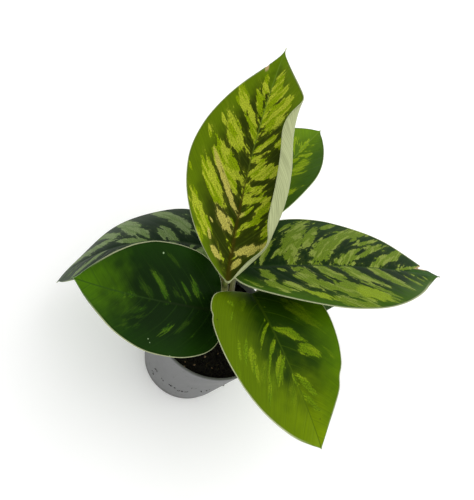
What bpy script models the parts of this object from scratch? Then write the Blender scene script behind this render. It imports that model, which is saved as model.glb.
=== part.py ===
"""A young homalomena with patterned leaves, growing in a small nursery pot.

Frame: metres, +Z up, origin in the middle of the pot's flat underside.
Each leaf is a blade and its stalk in one solid. The stalks stand in sockets
in a short fleshy crown, and the crown stands in a plain hole in the soil.
"""
import math
from dataclasses import dataclass

import bpy
import numpy as np

MM = 0.001

# Air left between pieces that touch
GAP = 0.3 * MM

# Pot: a thin-walled round nursery pot that widens upward
POT_HEIGHT = 53 * MM
RIM_RADIUS = 30 * MM
BASE_RADIUS = 21.6 * MM
WALL = 0.9 * MM
FLOOR = 1.2 * MM
FOOT_HEIGHT = 5 * MM
FOOT_STEP = 0.4 * MM
LIP_HEIGHT = 2.4 * MM
LIP_STEP = 0.4 * MM
EDGE = 0.3 * MM
POT_SIDES = 48
DRAIN_HOLES = 4
DRAIN_RADIUS = 2.5 * MM
DRAIN_OFFSET = 13 * MM
DRAIN_SIDES = 12

# Soil: fills the pot to a little below the rim. Its uneven top is a sum of
# waves, each with its number of radians per rim radius along x and along y,
# its phase and its share of the roughness.
SOIL_HEIGHT = 49 * MM
SOIL_ROUGHNESS = 0.5 * MM
SOIL_SIDES = POT_SIDES
SOIL_RINGS = 5
SOIL_WAVES = [
    (9.1, 2.3, 0.0, 0.5),
    (-3.9, 7.3, 1.1, 0.5),
    (11.2, -8.4, 2.0, 0.3),
    (1.3, 21.0, 4.6, 0.25),
]

# Crown: the short stem that the leaf stalks grow from, with its main roots
CROWN_RADIUS = 7.8 * MM
CROWN_FOOT = 27 * MM
CROWN_TOP = 52 * MM
CROWN_SIDES = 24
CROWN_SHAPE = [(0.25, 0.0), (0.62, 0.25), (0.92, 0.6), (1.0, 0.85), (0.93, 1.0)]
SOCKET_DEPTH = 8 * MM
SOCKET_RING = 5.1 * MM
DRILL_OVERRUN = 3 * MM
ROOTS = 6
ROOT_SIDES = 8
ROOT_RADIUS = 1.5 * MM
ROOT_TIP_RADIUS = 0.7 * MM
ROOT_START = 36 * MM
ROOT_END = 11 * MM
ROOT_REACH = 16 * MM
ROOT_TURN = 0.35
ROOT_SHORTER = 0.12
ROOT_HIGHER = 3 * MM

# Leaves
BLADE_THICKNESS = 0.8 * MM
RIB_DEPTH = 0.6 * MM
RIB_WIDTH = 1.6 * MM
BLADE_ROWS = 17
BLADE_COLUMNS = 5
COLUMN_CROWDING = 1.3
ROW_CROWDING = 0.88
STALK_RADIUS = 1.6 * MM
STALK_TOP_RADIUS = 1.15 * MM
MIDDLE_STALK_RADIUS = 2.0 * MM
STALK_SIDES = 8
STALK_BEND = 4 * MM
STALK_ROUNDING = 2
STALK_BURY = 0.2 * MM
RIB_REACH = 0.14
RIB_END_RADIUS = 0.7 * MM
MIDRIB_STEPS = 32
SECTION_STEPS = 14

# How every blade is drawn: powers that shape its rows and its margin
ROW_START_POWER = 1.5
ROW_LEAN_POWER = 1.3
DRIP_TIP_POWER = 14
WAVE_POWER = 2.2
WAVE_OFFSET = 1.3

# How the rolled margin comes and goes, as shares of the leaf's length
FOLD_LEAD = 0.04
FOLD_TAIL = 0.08
FOLD_RAMP = 0.16
PINCH_WIDTH = 0.06

# Viewport colours and roughness. The leaves carry their own colour.
POT_LOOK = ((0.16, 0.165, 0.17, 1), 0.55)
SOIL_LOOK = ((0.012, 0.009, 0.007, 1), 0.95)
CROWN_LOOK = ((0.10, 0.07, 0.04, 1), 0.6)
LEAF_ROUGHNESS = 0.4

# Angles above which an edge stays sharp
SHARP_ANGLE = 40
LEAF_SHARP_ANGLE = 50


def place(x, y, z):
    """A point given in millimetres, as metres."""
    return np.array([x, y, z]) * MM


@dataclass
class Leaf:
    """One leaf. Angles are in degrees, and left and right are as seen from
    the stalk looking towards the tip, with the glossy side up."""

    name: str
    base: np.ndarray        # where the blade meets its stalk
    socket: float           # heading of its socket on the crown's ring
    length: float
    width: float
    azimuth: float          # heading of the midrib where it starts, from +X
    rise: float             # slope of the midrib where it starts
    droop: float            # slope that the midrib loses by the tip
    sweep: float = 0        # how far the heading turns by the tip
    roll: float = 0         # lean about the midrib at the start, left side up
    twist: float = 0        # lean that is added by the tip
    arch: float = 1.0       # above 1, the droop comes late
    taper: float = 2.6      # above 2.6, the widest place is nearer the tip
    fullness: float = 1.0   # above 1, the ends are slimmer
    skew: float = 0         # share by which the left half is wider
    drip_tip: float = 0.03  # share of the length in the pointed tip
    lobe: float = 0.07      # share of the length that the base lobes reach back
    cup_left: float = 12    # how steeply each half leaves the midrib
    cup_right: float = 12
    curl_left: float = 0    # how much steeper it gets out to the margin
    curl_right: float = 0
    wave: float = 0.012     # height of the margin's waves as a share of width
    waves: float = 3.0
    phase: float = 0.0
    fold: float = 0         # how far the right margin rolls up and over
    fold_from: float = 0.5  # where the roll starts between midrib and margin
    fold_end: float = 0.6   # where along the leaf the roll ends
    pinch: float = 0        # share by which the roll opens at one place
    pinch_at: float = 0.3
    rows: int = BLADE_ROWS
    columns: int = BLADE_COLUMNS
    stalk: tuple = ()       # places that the stalk bends towards on its way up
    color: tuple = (0.10, 0.24, 0.05, 1)


LEAVES = [
    Leaf(
        "leaf_upright", base=place(-6.2, -1.8, 91), socket=None,
        length=126.5 * MM, width=60 * MM, azimuth=120.5, rise=15.5, droop=6,
        sweep=-13.5, roll=3, twist=-41.5, arch=1.5, taper=3.5, fullness=1.55,
        skew=-0.04, drip_tip=0.025, lobe=0, cup_left=13.5, cup_right=13,
        curl_left=-5.5, curl_right=7, wave=0.008, phase=0.5, fold=160,
        fold_from=0.48, fold_end=0.62, pinch=0.42, pinch_at=0.24, rows=20,
        columns=8, stalk=(place(-2, 2.5, 66), place(-5.4, 4.6, 77), place(-6.5, 0.6, 84.5)),
        color=(0.20, 0.32, 0.04, 1),
    ),
    Leaf(
        "leaf_right", base=place(-6.7, 11.7, 85.1), socket=80,
        length=125 * MM, width=67 * MM, azimuth=44.8, rise=7.5, droop=26,
        sweep=-0.5, roll=-21.3, twist=3.5, arch=0.8, taper=3.4, fullness=1.75,
        skew=0.063, drip_tip=0.01, lobe=0.095, cup_left=5, cup_right=9.3,
        curl_left=-11, curl_right=-8.5, phase=1.0,
        stalk=(place(-0.5, 8.5, 66), place(-5.4, 10.4, 78)),
        color=(0.08, 0.20, 0.06, 1),
    ),
    Leaf(
        "leaf_front", base=place(6, 9, 79.4), socket=320,
        length=81.5 * MM, width=59.5 * MM, azimuth=-38, rise=27.5, droop=66.5,
        sweep=22.5, roll=-3, twist=6, arch=0.8, taper=2.05, fullness=0.92,
        drip_tip=0.02, lobe=0.08, cup_left=10.5, cup_right=12, curl_left=-10,
        curl_right=-7.5, phase=2.2, stalk=(place(5, 1, 63), place(6, 8, 73)),
        color=(0.16, 0.30, 0.02, 1),
    ),
    Leaf(
        "leaf_left", base=place(-2.5, -7.6, 75), socket=260,
        length=74.5 * MM, width=51 * MM, azimuth=221.5, rise=15, droop=-15,
        sweep=-1.5, roll=-11, twist=-3, arch=1.25, taper=2.95, fullness=0.92,
        skew=-0.03, drip_tip=0.02, lobe=0.08, cup_left=11.5, cup_right=12.5,
        curl_left=-9.5, curl_right=6, wave=0.006, phase=0.2,
        stalk=(place(-1, -7, 62), place(-1.5, -7.5, 69)),
        color=(0.02, 0.10, 0.02, 1),
    ),
    Leaf(
        "leaf_left_back", base=place(-23.6, 17.0, 75.0), socket=200,
        length=91 * MM, width=53 * MM, azimuth=202, rise=0, droop=74,
        sweep=32, roll=9.5, twist=30, arch=0.8, taper=1.9, fullness=0.75,
        skew=-0.04, drip_tip=0.04, lobe=0.08, cup_left=8.5, cup_right=4.5,
        curl_left=-14, curl_right=-20, wave=0.01, phase=1.7,
        stalk=(place(-11, 2, 61), place(-20, 11, 70)),
        color=(0.04, 0.12, 0.06, 1),
    ),
    Leaf(
        "leaf_back", base=place(-20, 39, 74.3), socket=140,
        length=75 * MM, width=45 * MM, azimuth=91, rise=20.5, droop=22,
        sweep=-5.5, roll=-20, twist=28.5, arch=1.25, taper=2.85, skew=0.03,
        lobe=0.07, cup_left=16, cup_right=25, curl_left=-1, curl_right=17,
        phase=2.9, stalk=(place(-8, 14, 62), place(-16, 30, 69)),
        color=(0.09, 0.24, 0.03, 1),
    ),
    Leaf(
        "leaf_small", base=place(8.1, 22.9, 66.6), socket=20,
        length=50 * MM, width=30 * MM, azimuth=40.5, rise=6, droop=41.5,
        sweep=-8.5, roll=10, twist=8.5, arch=1.25, taper=2.45, skew=0.03,
        drip_tip=0.07, cup_left=12, cup_right=7.5, curl_left=-8,
        curl_right=-16.5, wave=0.015, phase=0.9,
        stalk=(place(7.5, 8, 57), place(8.5, 17, 62)),
        color=(0.03, 0.10, 0.03, 1),
    ),
]


def clear_scene():
    for thing in list(bpy.data.objects):
        bpy.data.objects.remove(thing, do_unlink=True)


def make_material(name, color, roughness):
    material = bpy.data.materials.new(name)
    material.use_nodes = True
    shader = material.node_tree.nodes["Principled BSDF"]
    shader.inputs["Base Color"].default_value = color
    shader.inputs["Roughness"].default_value = roughness
    shader.inputs["Metallic"].default_value = 0.0
    return material


def make_object(name, points, faces):
    mesh = bpy.data.meshes.new(name)
    mesh.from_pydata([tuple(p) for p in points], [], faces)
    mesh.update()
    thing = bpy.data.objects.new(name, mesh)
    bpy.context.scene.collection.objects.link(thing)
    return thing


def finish(thing, material, angle=SHARP_ANGLE):
    """Give a piece its material and smooth shading between sharp edges."""
    thing.data.materials.clear()
    thing.data.materials.append(material)
    thing.data.shade_smooth()
    thing.data.set_sharp_from_angle(angle=math.radians(angle))
    return thing


def combine(body, tool, operation):
    """Join a tool to a body or cut it out, then remove the tool."""
    modifier = body.modifiers.new(operation.lower(), "BOOLEAN")
    modifier.operation = operation
    modifier.solver = "EXACT"
    modifier.object = tool
    bpy.context.view_layer.update()
    graph = bpy.context.evaluated_depsgraph_get()
    result = bpy.data.meshes.new_from_object(body.evaluated_get(graph))
    body.modifiers.clear()
    body.data = result
    bpy.data.objects.remove(tool, do_unlink=True)
    return body


def turned_body(name, profile, sides):
    """Spin a closed outline about Z. It runs from the axis below, out and
    up the outer side, and back to the axis above."""
    points = [(0, 0, profile[0][1])]
    for radius, z in profile[1:-1]:
        for k in range(sides):
            angle = 2 * math.pi * k / sides
            points.append((radius * math.cos(angle), radius * math.sin(angle), z))
    points.append((0, 0, profile[-1][1]))
    rings = len(profile) - 2
    faces = []
    for k in range(sides):
        after = (k + 1) % sides
        faces.append((0, 1 + after, 1 + k))
        for ring in range(rings - 1):
            low = 1 + ring * sides
            high = low + sides
            faces.append((low + k, low + after, high + after, high + k))
        last = 1 + (rings - 1) * sides
        faces.append((last + k, last + after, len(points) - 1))
    return make_object(name, points, faces)


def tube(name, path, radii, sides):
    """A round rod along a path, closed at both ends."""
    path = np.asarray(path)
    along = np.gradient(path, axis=0)
    along /= np.linalg.norm(along, axis=1)[:, None]
    side = np.cross(along[0], (0.31, 0.95, 0.11))
    points = []
    for centre, forward, radius in zip(path, along, radii):
        side = side - forward * np.dot(side, forward)
        side /= np.linalg.norm(side)
        up = np.cross(forward, side)
        for k in range(sides):
            angle = 2 * math.pi * k / sides
            points.append(centre + radius * (math.cos(angle) * side + math.sin(angle) * up))
    faces = [tuple(reversed(range(sides)))]
    for ring in range(len(path) - 1):
        low = ring * sides
        high = low + sides
        for k in range(sides):
            after = (k + 1) % sides
            faces.append((low + k, low + after, high + after, high + k))
    last = (len(path) - 1) * sides
    faces.append(tuple(range(last, last + sides)))
    return make_object(name, points, faces)


def smooth_step(value):
    value = np.clip(value, 0, 1)
    return value * value * (3 - 2 * value)


def midrib(leaf):
    """Points along the midrib, with its direction, its left and its up."""
    share = np.linspace(0, 1, MIDRIB_STEPS + 1)
    heading = np.radians(leaf.azimuth + leaf.sweep * share)
    slope = np.radians(leaf.rise - leaf.droop * share ** leaf.arch)
    flat = np.stack([np.cos(heading), np.sin(heading), 0 * share], -1)
    along = np.cos(slope)[:, None] * flat + np.sin(slope)[:, None] * np.array([0, 0, 1])
    steps = (along[1:] + along[:-1]) / 2 * leaf.length / MIDRIB_STEPS
    points = leaf.base + np.concatenate([np.zeros((1, 3)), np.cumsum(steps, 0)])
    left = np.stack([-np.sin(heading), np.cos(heading), 0 * share], -1)
    up = np.cross(along, left)
    lean = np.radians(leaf.roll + leaf.twist * share)[:, None]
    leaned_left = np.cos(lean) * left + np.sin(lean) * up
    leaned_up = np.cos(lean) * up - np.sin(lean) * left
    return points, along, leaned_left, leaned_up


def outline(leaf, tau, side):
    """Place on the leaf pressed flat: how far along and how far to the left.

    tau runs from 0 at the stalk to 1 at the tip, and side from -1 at the
    right margin through 0 on the midrib to 1 at the left margin. A line of
    one tau is a curve that starts on the midrib and leans forward."""

    def bell(t):
        return np.sin(np.pi * np.clip(t, 0, 1)) ** leaf.fullness * (1 - t ** leaf.taper)

    half_width = leaf.width / 2 * bell(tau) / bell(np.linspace(0, 1, 400)).max()
    margin = (1 - leaf.drip_tip) * (1 - np.cos(np.pi * tau)) / 2
    margin = margin + leaf.drip_tip * tau ** DRIP_TIP_POWER
    margin = margin - leaf.lobe * np.sin(2 * np.pi * np.clip(tau, 0, 0.5))
    start = tau ** ROW_START_POWER
    along = leaf.length * (start + (margin - start) * np.abs(side) ** ROW_LEAN_POWER)
    across = side * half_width * np.where(side >= 0, 1 + leaf.skew, 1 - leaf.skew)
    return along, across


def fold_share(leaf, tau):
    """How much of its full roll the right margin has at a place."""
    coming = smooth_step((tau + FOLD_LEAD) / FOLD_RAMP)
    going = smooth_step((leaf.fold_end + FOLD_TAIL - tau) / FOLD_RAMP)
    pinched = leaf.pinch * np.exp(-((tau - leaf.pinch_at) / PINCH_WIDTH) ** 2)
    return coming * going * (1 - pinched)


def blade_surface(leaf, tau, side):
    """Points of the blade's glossy side in space."""
    tau, side = np.broadcast_arrays(tau, side)
    along, across = outline(leaf, tau, side)
    frames = midrib(leaf)
    where = np.clip(along / leaf.length, 0, 1) * MIDRIB_STEPS
    knots = np.arange(MIDRIB_STEPS + 1)

    def at(values):
        return np.stack([np.interp(where, knots, values[:, i]) for i in range(3)], -1)

    centre, forward, left, up = (at(values) for values in frames)
    centre = centre + np.minimum(along, 0)[..., None] * forward
    is_left = side >= 0
    reach = np.abs(side)
    cup = np.where(is_left, leaf.cup_left, leaf.cup_right)
    curl = np.where(is_left, leaf.curl_left, leaf.curl_right)
    fold = np.where(is_left, 0, leaf.fold) * fold_share(leaf, tau)
    out = np.zeros_like(across)
    height = np.zeros_like(across)
    for step in range(SECTION_STEPS):
        share = reach * (step + 0.5) / SECTION_STEPS
        rolled = smooth_step((share - leaf.fold_from) / (1 - leaf.fold_from))
        angle = np.radians(cup + curl * share + fold * rolled)
        out += np.cos(angle) * np.abs(across) / SECTION_STEPS
        height += np.sin(angle) * np.abs(across) / SECTION_STEPS
    phase = leaf.phase + np.where(is_left, 0, WAVE_OFFSET)
    ripple = np.sin(2 * np.pi * leaf.waves * tau + phase) * np.sin(np.pi * tau)
    height = height + leaf.wave * leaf.width * reach ** WAVE_POWER * ripple
    out = np.where(is_left, out, -out)
    return centre + out[..., None] * left + height[..., None] * up


def blade_faces(rows, columns):
    """Triangles of one side of a blade: a fan at each end, a grid between."""
    count = columns + 1
    tip = 1 + (rows - 1) * count
    faces = [(0, 1 + k, 2 + k) for k in range(columns)]
    for row in range(rows - 2):
        for k in range(columns):
            low = 1 + row * count + k
            high = low + count
            faces.append((low, high, high + 1))
            faces.append((low, high + 1, low + 1))
    last = tip - count
    faces += [(last + k, tip, last + k + 1) for k in range(columns)]
    return faces


def vertex_normals(points, faces):
    faces = np.asarray(faces)
    edges_a = points[faces[:, 1]] - points[faces[:, 0]]
    edges_b = points[faces[:, 2]] - points[faces[:, 0]]
    normals = np.zeros_like(points)
    for corner in range(3):
        np.add.at(normals, faces[:, corner], np.cross(edges_a, edges_b))
    return normals / np.linalg.norm(normals, axis=1)[:, None]


def make_blade(leaf):
    """A thin closed blade with its midrib standing out underneath."""
    half = np.linspace(0, 1, leaf.columns + 1) ** COLUMN_CROWDING
    sides = np.concatenate([half[::-1], -half[1:]])
    taus = np.linspace(0, 1, leaf.rows + 1) ** ROW_CROWDING
    grid = blade_surface(leaf, taus[1:-1, None], sides[None, :])
    top = np.concatenate([[leaf.base], grid.reshape(-1, 3), [midrib(leaf)[0][-1]]])
    columns = len(sides) - 1
    faces = [tuple(reversed(face)) for face in blade_faces(leaf.rows, columns)]
    normals = vertex_normals(top, faces)
    across = outline(leaf, taus[1:-1, None], sides[None, :])[1]
    rib = RIB_DEPTH * np.exp(-(across / RIB_WIDTH) ** 2) * (1 - taus[1:-1, None] ** 2)
    depth = np.concatenate([[RIB_DEPTH], rib.ravel(), [0]]) + BLADE_THICKNESS
    bottom = top - normals * depth[:, None]
    shift = len(top)
    count = columns + 1
    first = [0] + [1 + row * count for row in range(leaf.rows - 1)] + [shift - 1]
    second = [0] + [(row + 1) * count for row in range(leaf.rows - 1)] + [shift - 1]
    faces += [tuple(shift + k for k in reversed(face)) for face in faces]
    for edge in (first, second[::-1]):
        for a, b in zip(edge[:-1], edge[1:]):
            faces.append((a, b, b + shift))
            faces.append((a, b + shift, a + shift))
    return make_object(leaf.name, np.concatenate([top, bottom]), faces)


def socket_place(leaf):
    if leaf.socket is None:
        return np.zeros(3)
    angle = math.radians(leaf.socket)
    return SOCKET_RING * np.array([math.cos(angle), math.sin(angle), 0])


def stalk_radius(leaf):
    return MIDDLE_STALK_RADIUS if leaf.socket is None else STALK_RADIUS


def rounded(corners, rounds):
    """A smooth path inside a chain of straight lines, by cutting corners."""
    path = np.array(corners)
    for _ in range(rounds):
        early = path[:-1] * 0.75 + path[1:] * 0.25
        late = path[:-1] * 0.25 + path[1:] * 0.75
        middle = np.stack([early, late], 1).reshape(-1, 3)
        path = np.concatenate([path[:1], middle[1:-1], path[-1:]])
    return path


def stalk_path(leaf):
    """From the bottom of the socket up to the blade, then under its midrib."""
    foot = socket_place(leaf) + np.array([0, 0, CROWN_TOP - SOCKET_DEPTH + GAP])
    mouth = foot + np.array([0, 0, SOCKET_DEPTH])
    clear = mouth + np.array([0, 0, STALK_BEND])
    points, _, _, up = midrib(leaf)
    knee = points[0] - up[0] * (STALK_TOP_RADIUS + STALK_BURY)
    below = np.array(leaf.stalk[-1]) - knee
    below = knee + below / np.linalg.norm(below) * STALK_BEND
    end = round(RIB_REACH * MIDRIB_STEPS)
    under = [points[k] - up[k] * (RIB_END_RADIUS + STALK_BURY) for k in (end // 2, end)]
    return rounded([foot, mouth, clear, *leaf.stalk, below, knee, *under], STALK_ROUNDING)


def make_stalk(leaf):
    path = stalk_path(leaf)
    steps = np.linalg.norm(np.diff(path, axis=0), axis=1)
    way = np.concatenate([[0], np.cumsum(steps)])
    meeting = way[-1] - RIB_REACH * leaf.length
    stations = [0, SOCKET_DEPTH, meeting, way[-1]]
    widths = [stalk_radius(leaf), stalk_radius(leaf), STALK_TOP_RADIUS, RIB_END_RADIUS]
    return tube("stalk", path, np.interp(way, stations, widths), STALK_SIDES)


def make_leaf(leaf):
    body = combine(make_blade(leaf), make_stalk(leaf), "UNION")
    material = make_material(leaf.name, leaf.color, LEAF_ROUGHNESS)
    return finish(body, material, LEAF_SHARP_ANGLE)


def outer_radius(z):
    """Radius of the pot's tapered wall at a height, before lip and foot."""
    full = RIM_RADIUS - LIP_STEP
    return BASE_RADIUS + FOOT_STEP + (full - BASE_RADIUS - FOOT_STEP) * z / POT_HEIGHT


def make_pot():
    lip = POT_HEIGHT - LIP_HEIGHT
    inner_top = RIM_RADIUS - LIP_STEP - WALL
    inner_floor = outer_radius(FLOOR) - WALL
    profile = [
        (0, 0),
        (BASE_RADIUS - EDGE, 0),
        (BASE_RADIUS, EDGE),
        (outer_radius(FOOT_HEIGHT) - FOOT_STEP, FOOT_HEIGHT - EDGE),
        (outer_radius(FOOT_HEIGHT), FOOT_HEIGHT),
        (outer_radius(lip), lip),
        (outer_radius(lip) + LIP_STEP, lip + EDGE),
        (RIM_RADIUS, POT_HEIGHT - EDGE),
        (RIM_RADIUS - EDGE, POT_HEIGHT),
        (inner_top + EDGE, POT_HEIGHT),
        (inner_top, POT_HEIGHT - EDGE),
        (inner_floor, FLOOR),
        (0, FLOOR),
    ]
    pot = turned_body("pot", profile, POT_SIDES)
    for k in range(DRAIN_HOLES):
        angle = 2 * math.pi * (k + 0.5) / DRAIN_HOLES
        middle = DRAIN_OFFSET * np.array([math.cos(angle), math.sin(angle), 0])
        low = middle - np.array([0, 0, FLOOR])
        high = middle + np.array([0, 0, 2 * FLOOR])
        drill = tube("drain_drill", [low, high], [DRAIN_RADIUS] * 2, DRAIN_SIDES)
        combine(pot, drill, "DIFFERENCE")
    return finish(pot, make_material("pot", *POT_LOOK))


def make_crown_body(name, extra):
    """The crown with its roots, made fatter all round by extra."""
    height = CROWN_TOP - CROWN_FOOT
    profile = [(0, CROWN_FOOT - extra)]
    for width, share in CROWN_SHAPE:
        profile.append((CROWN_RADIUS * width + extra, CROWN_FOOT + share * height))
    profile[1] = (profile[1][0], CROWN_FOOT - extra)
    profile[-1] = (profile[-1][0], CROWN_TOP + extra)
    profile.append((0, CROWN_TOP + extra))
    body = turned_body(name, profile, CROWN_SIDES)
    for k in range(ROOTS):
        angle = 2 * math.pi * (k + ROOT_TURN) / ROOTS
        outward = np.array([math.cos(angle), math.sin(angle), 0])
        start = np.array([0, 0, ROOT_START])
        reach = ROOT_REACH * (1 - ROOT_SHORTER * (k % 2))
        end = outward * reach + np.array([0, 0, ROOT_END + ROOT_HIGHER * (k % 3)])
        end = end + (end - start) / np.linalg.norm(end - start) * extra
        widths = [ROOT_RADIUS + extra, ROOT_TIP_RADIUS + extra]
        root = tube("root", [start, end], widths, ROOT_SIDES)
        combine(body, root, "UNION")
    return body


def make_crown():
    crown = make_crown_body("crown", 0)
    for leaf in LEAVES:
        low = socket_place(leaf) + np.array([0, 0, CROWN_TOP - SOCKET_DEPTH])
        high = low + np.array([0, 0, SOCKET_DEPTH + DRILL_OVERRUN])
        drill = tube("socket_drill", [low, high], [stalk_radius(leaf) + GAP] * 2, STALK_SIDES)
        combine(crown, drill, "DIFFERENCE")
    return finish(crown, make_material("crown", *CROWN_LOOK))


def soil_surface(radius, angle):
    """Height of the uneven soil at a place."""
    x = radius * math.cos(angle) / RIM_RADIUS
    y = radius * math.sin(angle) / RIM_RADIUS
    bumps = sum(share * math.sin(a * x + b * y + phase) for a, b, phase, share in SOIL_WAVES)
    return SOIL_HEIGHT + SOIL_ROUGHNESS * bumps


def make_soil():
    foot = FLOOR + GAP
    low_radius = outer_radius(foot) - WALL - GAP
    high_radius = outer_radius(SOIL_HEIGHT) - WALL - GAP
    points = [(0, 0, foot)]
    rings = [(low_radius, None)]
    rings += [(high_radius * k / SOIL_RINGS, "top") for k in range(SOIL_RINGS, 0, -1)]
    for radius, kind in rings:
        for k in range(SOIL_SIDES):
            angle = 2 * math.pi * k / SOIL_SIDES
            z = soil_surface(radius, angle) if kind else foot
            points.append((radius * math.cos(angle), radius * math.sin(angle), z))
    points.append((0, 0, soil_surface(0, 0)))
    faces = []
    for k in range(SOIL_SIDES):
        after = (k + 1) % SOIL_SIDES
        faces.append((0, 1 + after, 1 + k))
        for ring in range(len(rings) - 1):
            low = 1 + ring * SOIL_SIDES
            high = low + SOIL_SIDES
            faces.append((low + k, low + after, high + after))
            faces.append((low + k, high + after, high + k))
        last = 1 + (len(rings) - 1) * SOIL_SIDES
        faces.append((last + k, last + after, len(points) - 1))
    soil = make_object("soil", points, faces)
    combine(soil, make_crown_body("crown_cutter", GAP), "DIFFERENCE")
    return finish(soil, make_material("soil", *SOIL_LOOK))


def main():
    clear_scene()
    make_pot()
    make_soil()
    make_crown()
    for leaf in LEAVES:
        make_leaf(leaf)


main()
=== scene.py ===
# %% [markdown]
# A young homalomena in its nursery pot, dressed for a portrait.
# The solids of the plant come packed as a frame. This script hides each
# plain solid behind a finer one of the same form, and gives every surface
# its own finish.
# We load the frame first. The finished plant has to stay as large as the
# solids are.

# %% Load the frame
import math
from dataclasses import dataclass

import bpy
import numpy as np
from mathutils import Matrix, noise


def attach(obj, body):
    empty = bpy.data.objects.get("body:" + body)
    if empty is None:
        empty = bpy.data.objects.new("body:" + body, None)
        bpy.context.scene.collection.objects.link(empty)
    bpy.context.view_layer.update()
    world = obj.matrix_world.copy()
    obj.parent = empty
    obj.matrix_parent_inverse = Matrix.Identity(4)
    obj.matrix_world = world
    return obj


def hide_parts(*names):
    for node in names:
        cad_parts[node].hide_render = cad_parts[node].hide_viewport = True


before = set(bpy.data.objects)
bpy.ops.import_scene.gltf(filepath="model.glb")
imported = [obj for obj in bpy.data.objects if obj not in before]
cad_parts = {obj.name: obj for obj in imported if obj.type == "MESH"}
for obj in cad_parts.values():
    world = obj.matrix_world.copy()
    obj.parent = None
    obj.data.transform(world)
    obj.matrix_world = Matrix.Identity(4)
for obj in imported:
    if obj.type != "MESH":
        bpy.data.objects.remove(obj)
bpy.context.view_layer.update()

MM = 0.001
CM = 0.01

# %% [markdown]
# The camera looks steeply down on the plant, and it is rolled, so the pot
# leans to the right in the picture. Where a lens stands can be read from the
# two round outlines of a pot: the rim and the foot.
# We place the camera by the rim: so far away, at such a height, with the
# rim's middle on a known pixel. Nothing then has to be moved by eye.

# %% Camera
PICTURE_WIDTH = 474
PICTURE_HEIGHT = 500
RIM_PIXEL = (214, 321.4)
PIXELS_PER_METRE = 2050
RIM_HEIGHT = 53 * MM
VIEW_DISTANCE = 380 * MM
VIEW_HEIGHT = math.radians(60)
VIEW_ROLL = math.radians(38)
SENSOR = 24


def unit(vector):
    return vector / np.linalg.norm(vector)


def make_camera():
    back = np.array([0, -math.cos(VIEW_HEIGHT), math.sin(VIEW_HEIGHT)])
    right = np.array([1.0, 0, 0])
    up = np.cross(back, right)
    picture_right = math.cos(VIEW_ROLL) * right + math.sin(VIEW_ROLL) * up
    picture_up = math.cos(VIEW_ROLL) * up - math.sin(VIEW_ROLL) * right
    rim = np.array([0, 0, RIM_HEIGHT])
    eye = rim + VIEW_DISTANCE * back
    aim = rim + (PICTURE_WIDTH / 2 - RIM_PIXEL[0]) / PIXELS_PER_METRE * picture_right
    aim = aim + (RIM_PIXEL[1] - PICTURE_HEIGHT / 2) / PIXELS_PER_METRE * picture_up
    z_axis = unit(eye - aim)
    x_axis = unit(np.cross(picture_up, z_axis))
    y_axis = np.cross(z_axis, x_axis)
    data = bpy.data.cameras.new("portrait")
    data.sensor_fit = "VERTICAL"
    data.sensor_height = SENSOR
    data.lens = PIXELS_PER_METRE * VIEW_DISTANCE / PICTURE_HEIGHT * SENSOR
    data.clip_start = 0.01
    camera = bpy.data.objects.new("portrait", data)
    pose = np.eye(4)
    pose[:3, :3] = np.stack([x_axis, y_axis, z_axis], 1)
    pose[:3, 3] = eye
    camera.matrix_world = Matrix(pose.tolist())
    bpy.context.scene.collection.objects.link(camera)
    bpy.context.scene.camera = camera
    return camera


camera = make_camera()
print("camera lens", round(camera.data.lens, 2), "mm at", tuple(camera.location))

# %% [markdown]
# The plant was seen against white in even daylight. A sky that is white all
# round gives that light, but leaves no form. One large soft lamp above and to
# the right adds the gloss on the leaves, and a weaker one opposite fills.
# A wide pale floor catches a faint shadow, so the pot stands and doesn't hover.

# %% Light and floor
SKY_STRENGTH = 0.92
KEY_POWER = 3.2
KEY_PLACE = (0.35, 0.35, 0.85)
FILL_POWER = 0.5
FILL_PLACE = (-0.7, -0.3, 0.6)
FLOOR_SIZE = 6.0
FLOOR_GLOW = 0.12
PLANT_MIDDLE = (0, 0.02, 0.07)


def make_lamp(name, place, power, size):
    data = bpy.data.lights.new(name, "AREA")
    data.energy = power
    data.size = size
    lamp = bpy.data.objects.new(name, data)
    lamp.location = place
    aim = lamp.location.copy()
    aim.x, aim.y, aim.z = (p - q for p, q in zip(place, PLANT_MIDDLE))
    lamp.rotation_euler = aim.to_track_quat("Z", "Y").to_euler()
    bpy.context.scene.collection.objects.link(lamp)
    return lamp


make_lamp("window", KEY_PLACE, KEY_POWER, 1.1)
make_lamp("fill", FILL_PLACE, FILL_POWER, 0.9)
world = bpy.data.worlds.new("white sky")
world.use_nodes = True
world.node_tree.nodes["Background"].inputs["Color"].default_value = (1, 1, 1, 1)
world.node_tree.nodes["Background"].inputs["Strength"].default_value = SKY_STRENGTH
bpy.context.scene.world = world
bpy.context.scene.view_settings.view_transform = "Standard"
print("lamps and sky set")

# %% [markdown]
# Most pieces here are worked out as points and faces. A few small helpers
# keep that short: one makes an object and fills its UV maps, one spins an
# outline into a pot, and one draws a round rod along a path.

# %% Mesh helpers


def make_piece(name, points, faces, maps=None, slots=None, materials=()):
    """A smooth mesh. maps gives UVs for each point."""
    mesh = bpy.data.meshes.new(name)
    mesh.from_pydata([tuple(p) for p in points], [], faces)
    mesh.update()
    corners = np.zeros(len(mesh.loops), dtype=np.int64)
    mesh.loops.foreach_get("vertex_index", corners)
    for label, values in (maps or {}).items():
        layer = mesh.uv_layers.new(name=label)
        layer.uv.foreach_set("vector", np.asarray(values, dtype=np.float32)[corners].ravel())
    for material in materials:
        mesh.materials.append(material)
    if slots is not None:
        mesh.polygons.foreach_set("material_index", slots)
    mesh.shade_smooth()
    piece = bpy.data.objects.new(name, mesh)
    bpy.context.scene.collection.objects.link(piece)
    return piece


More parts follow.
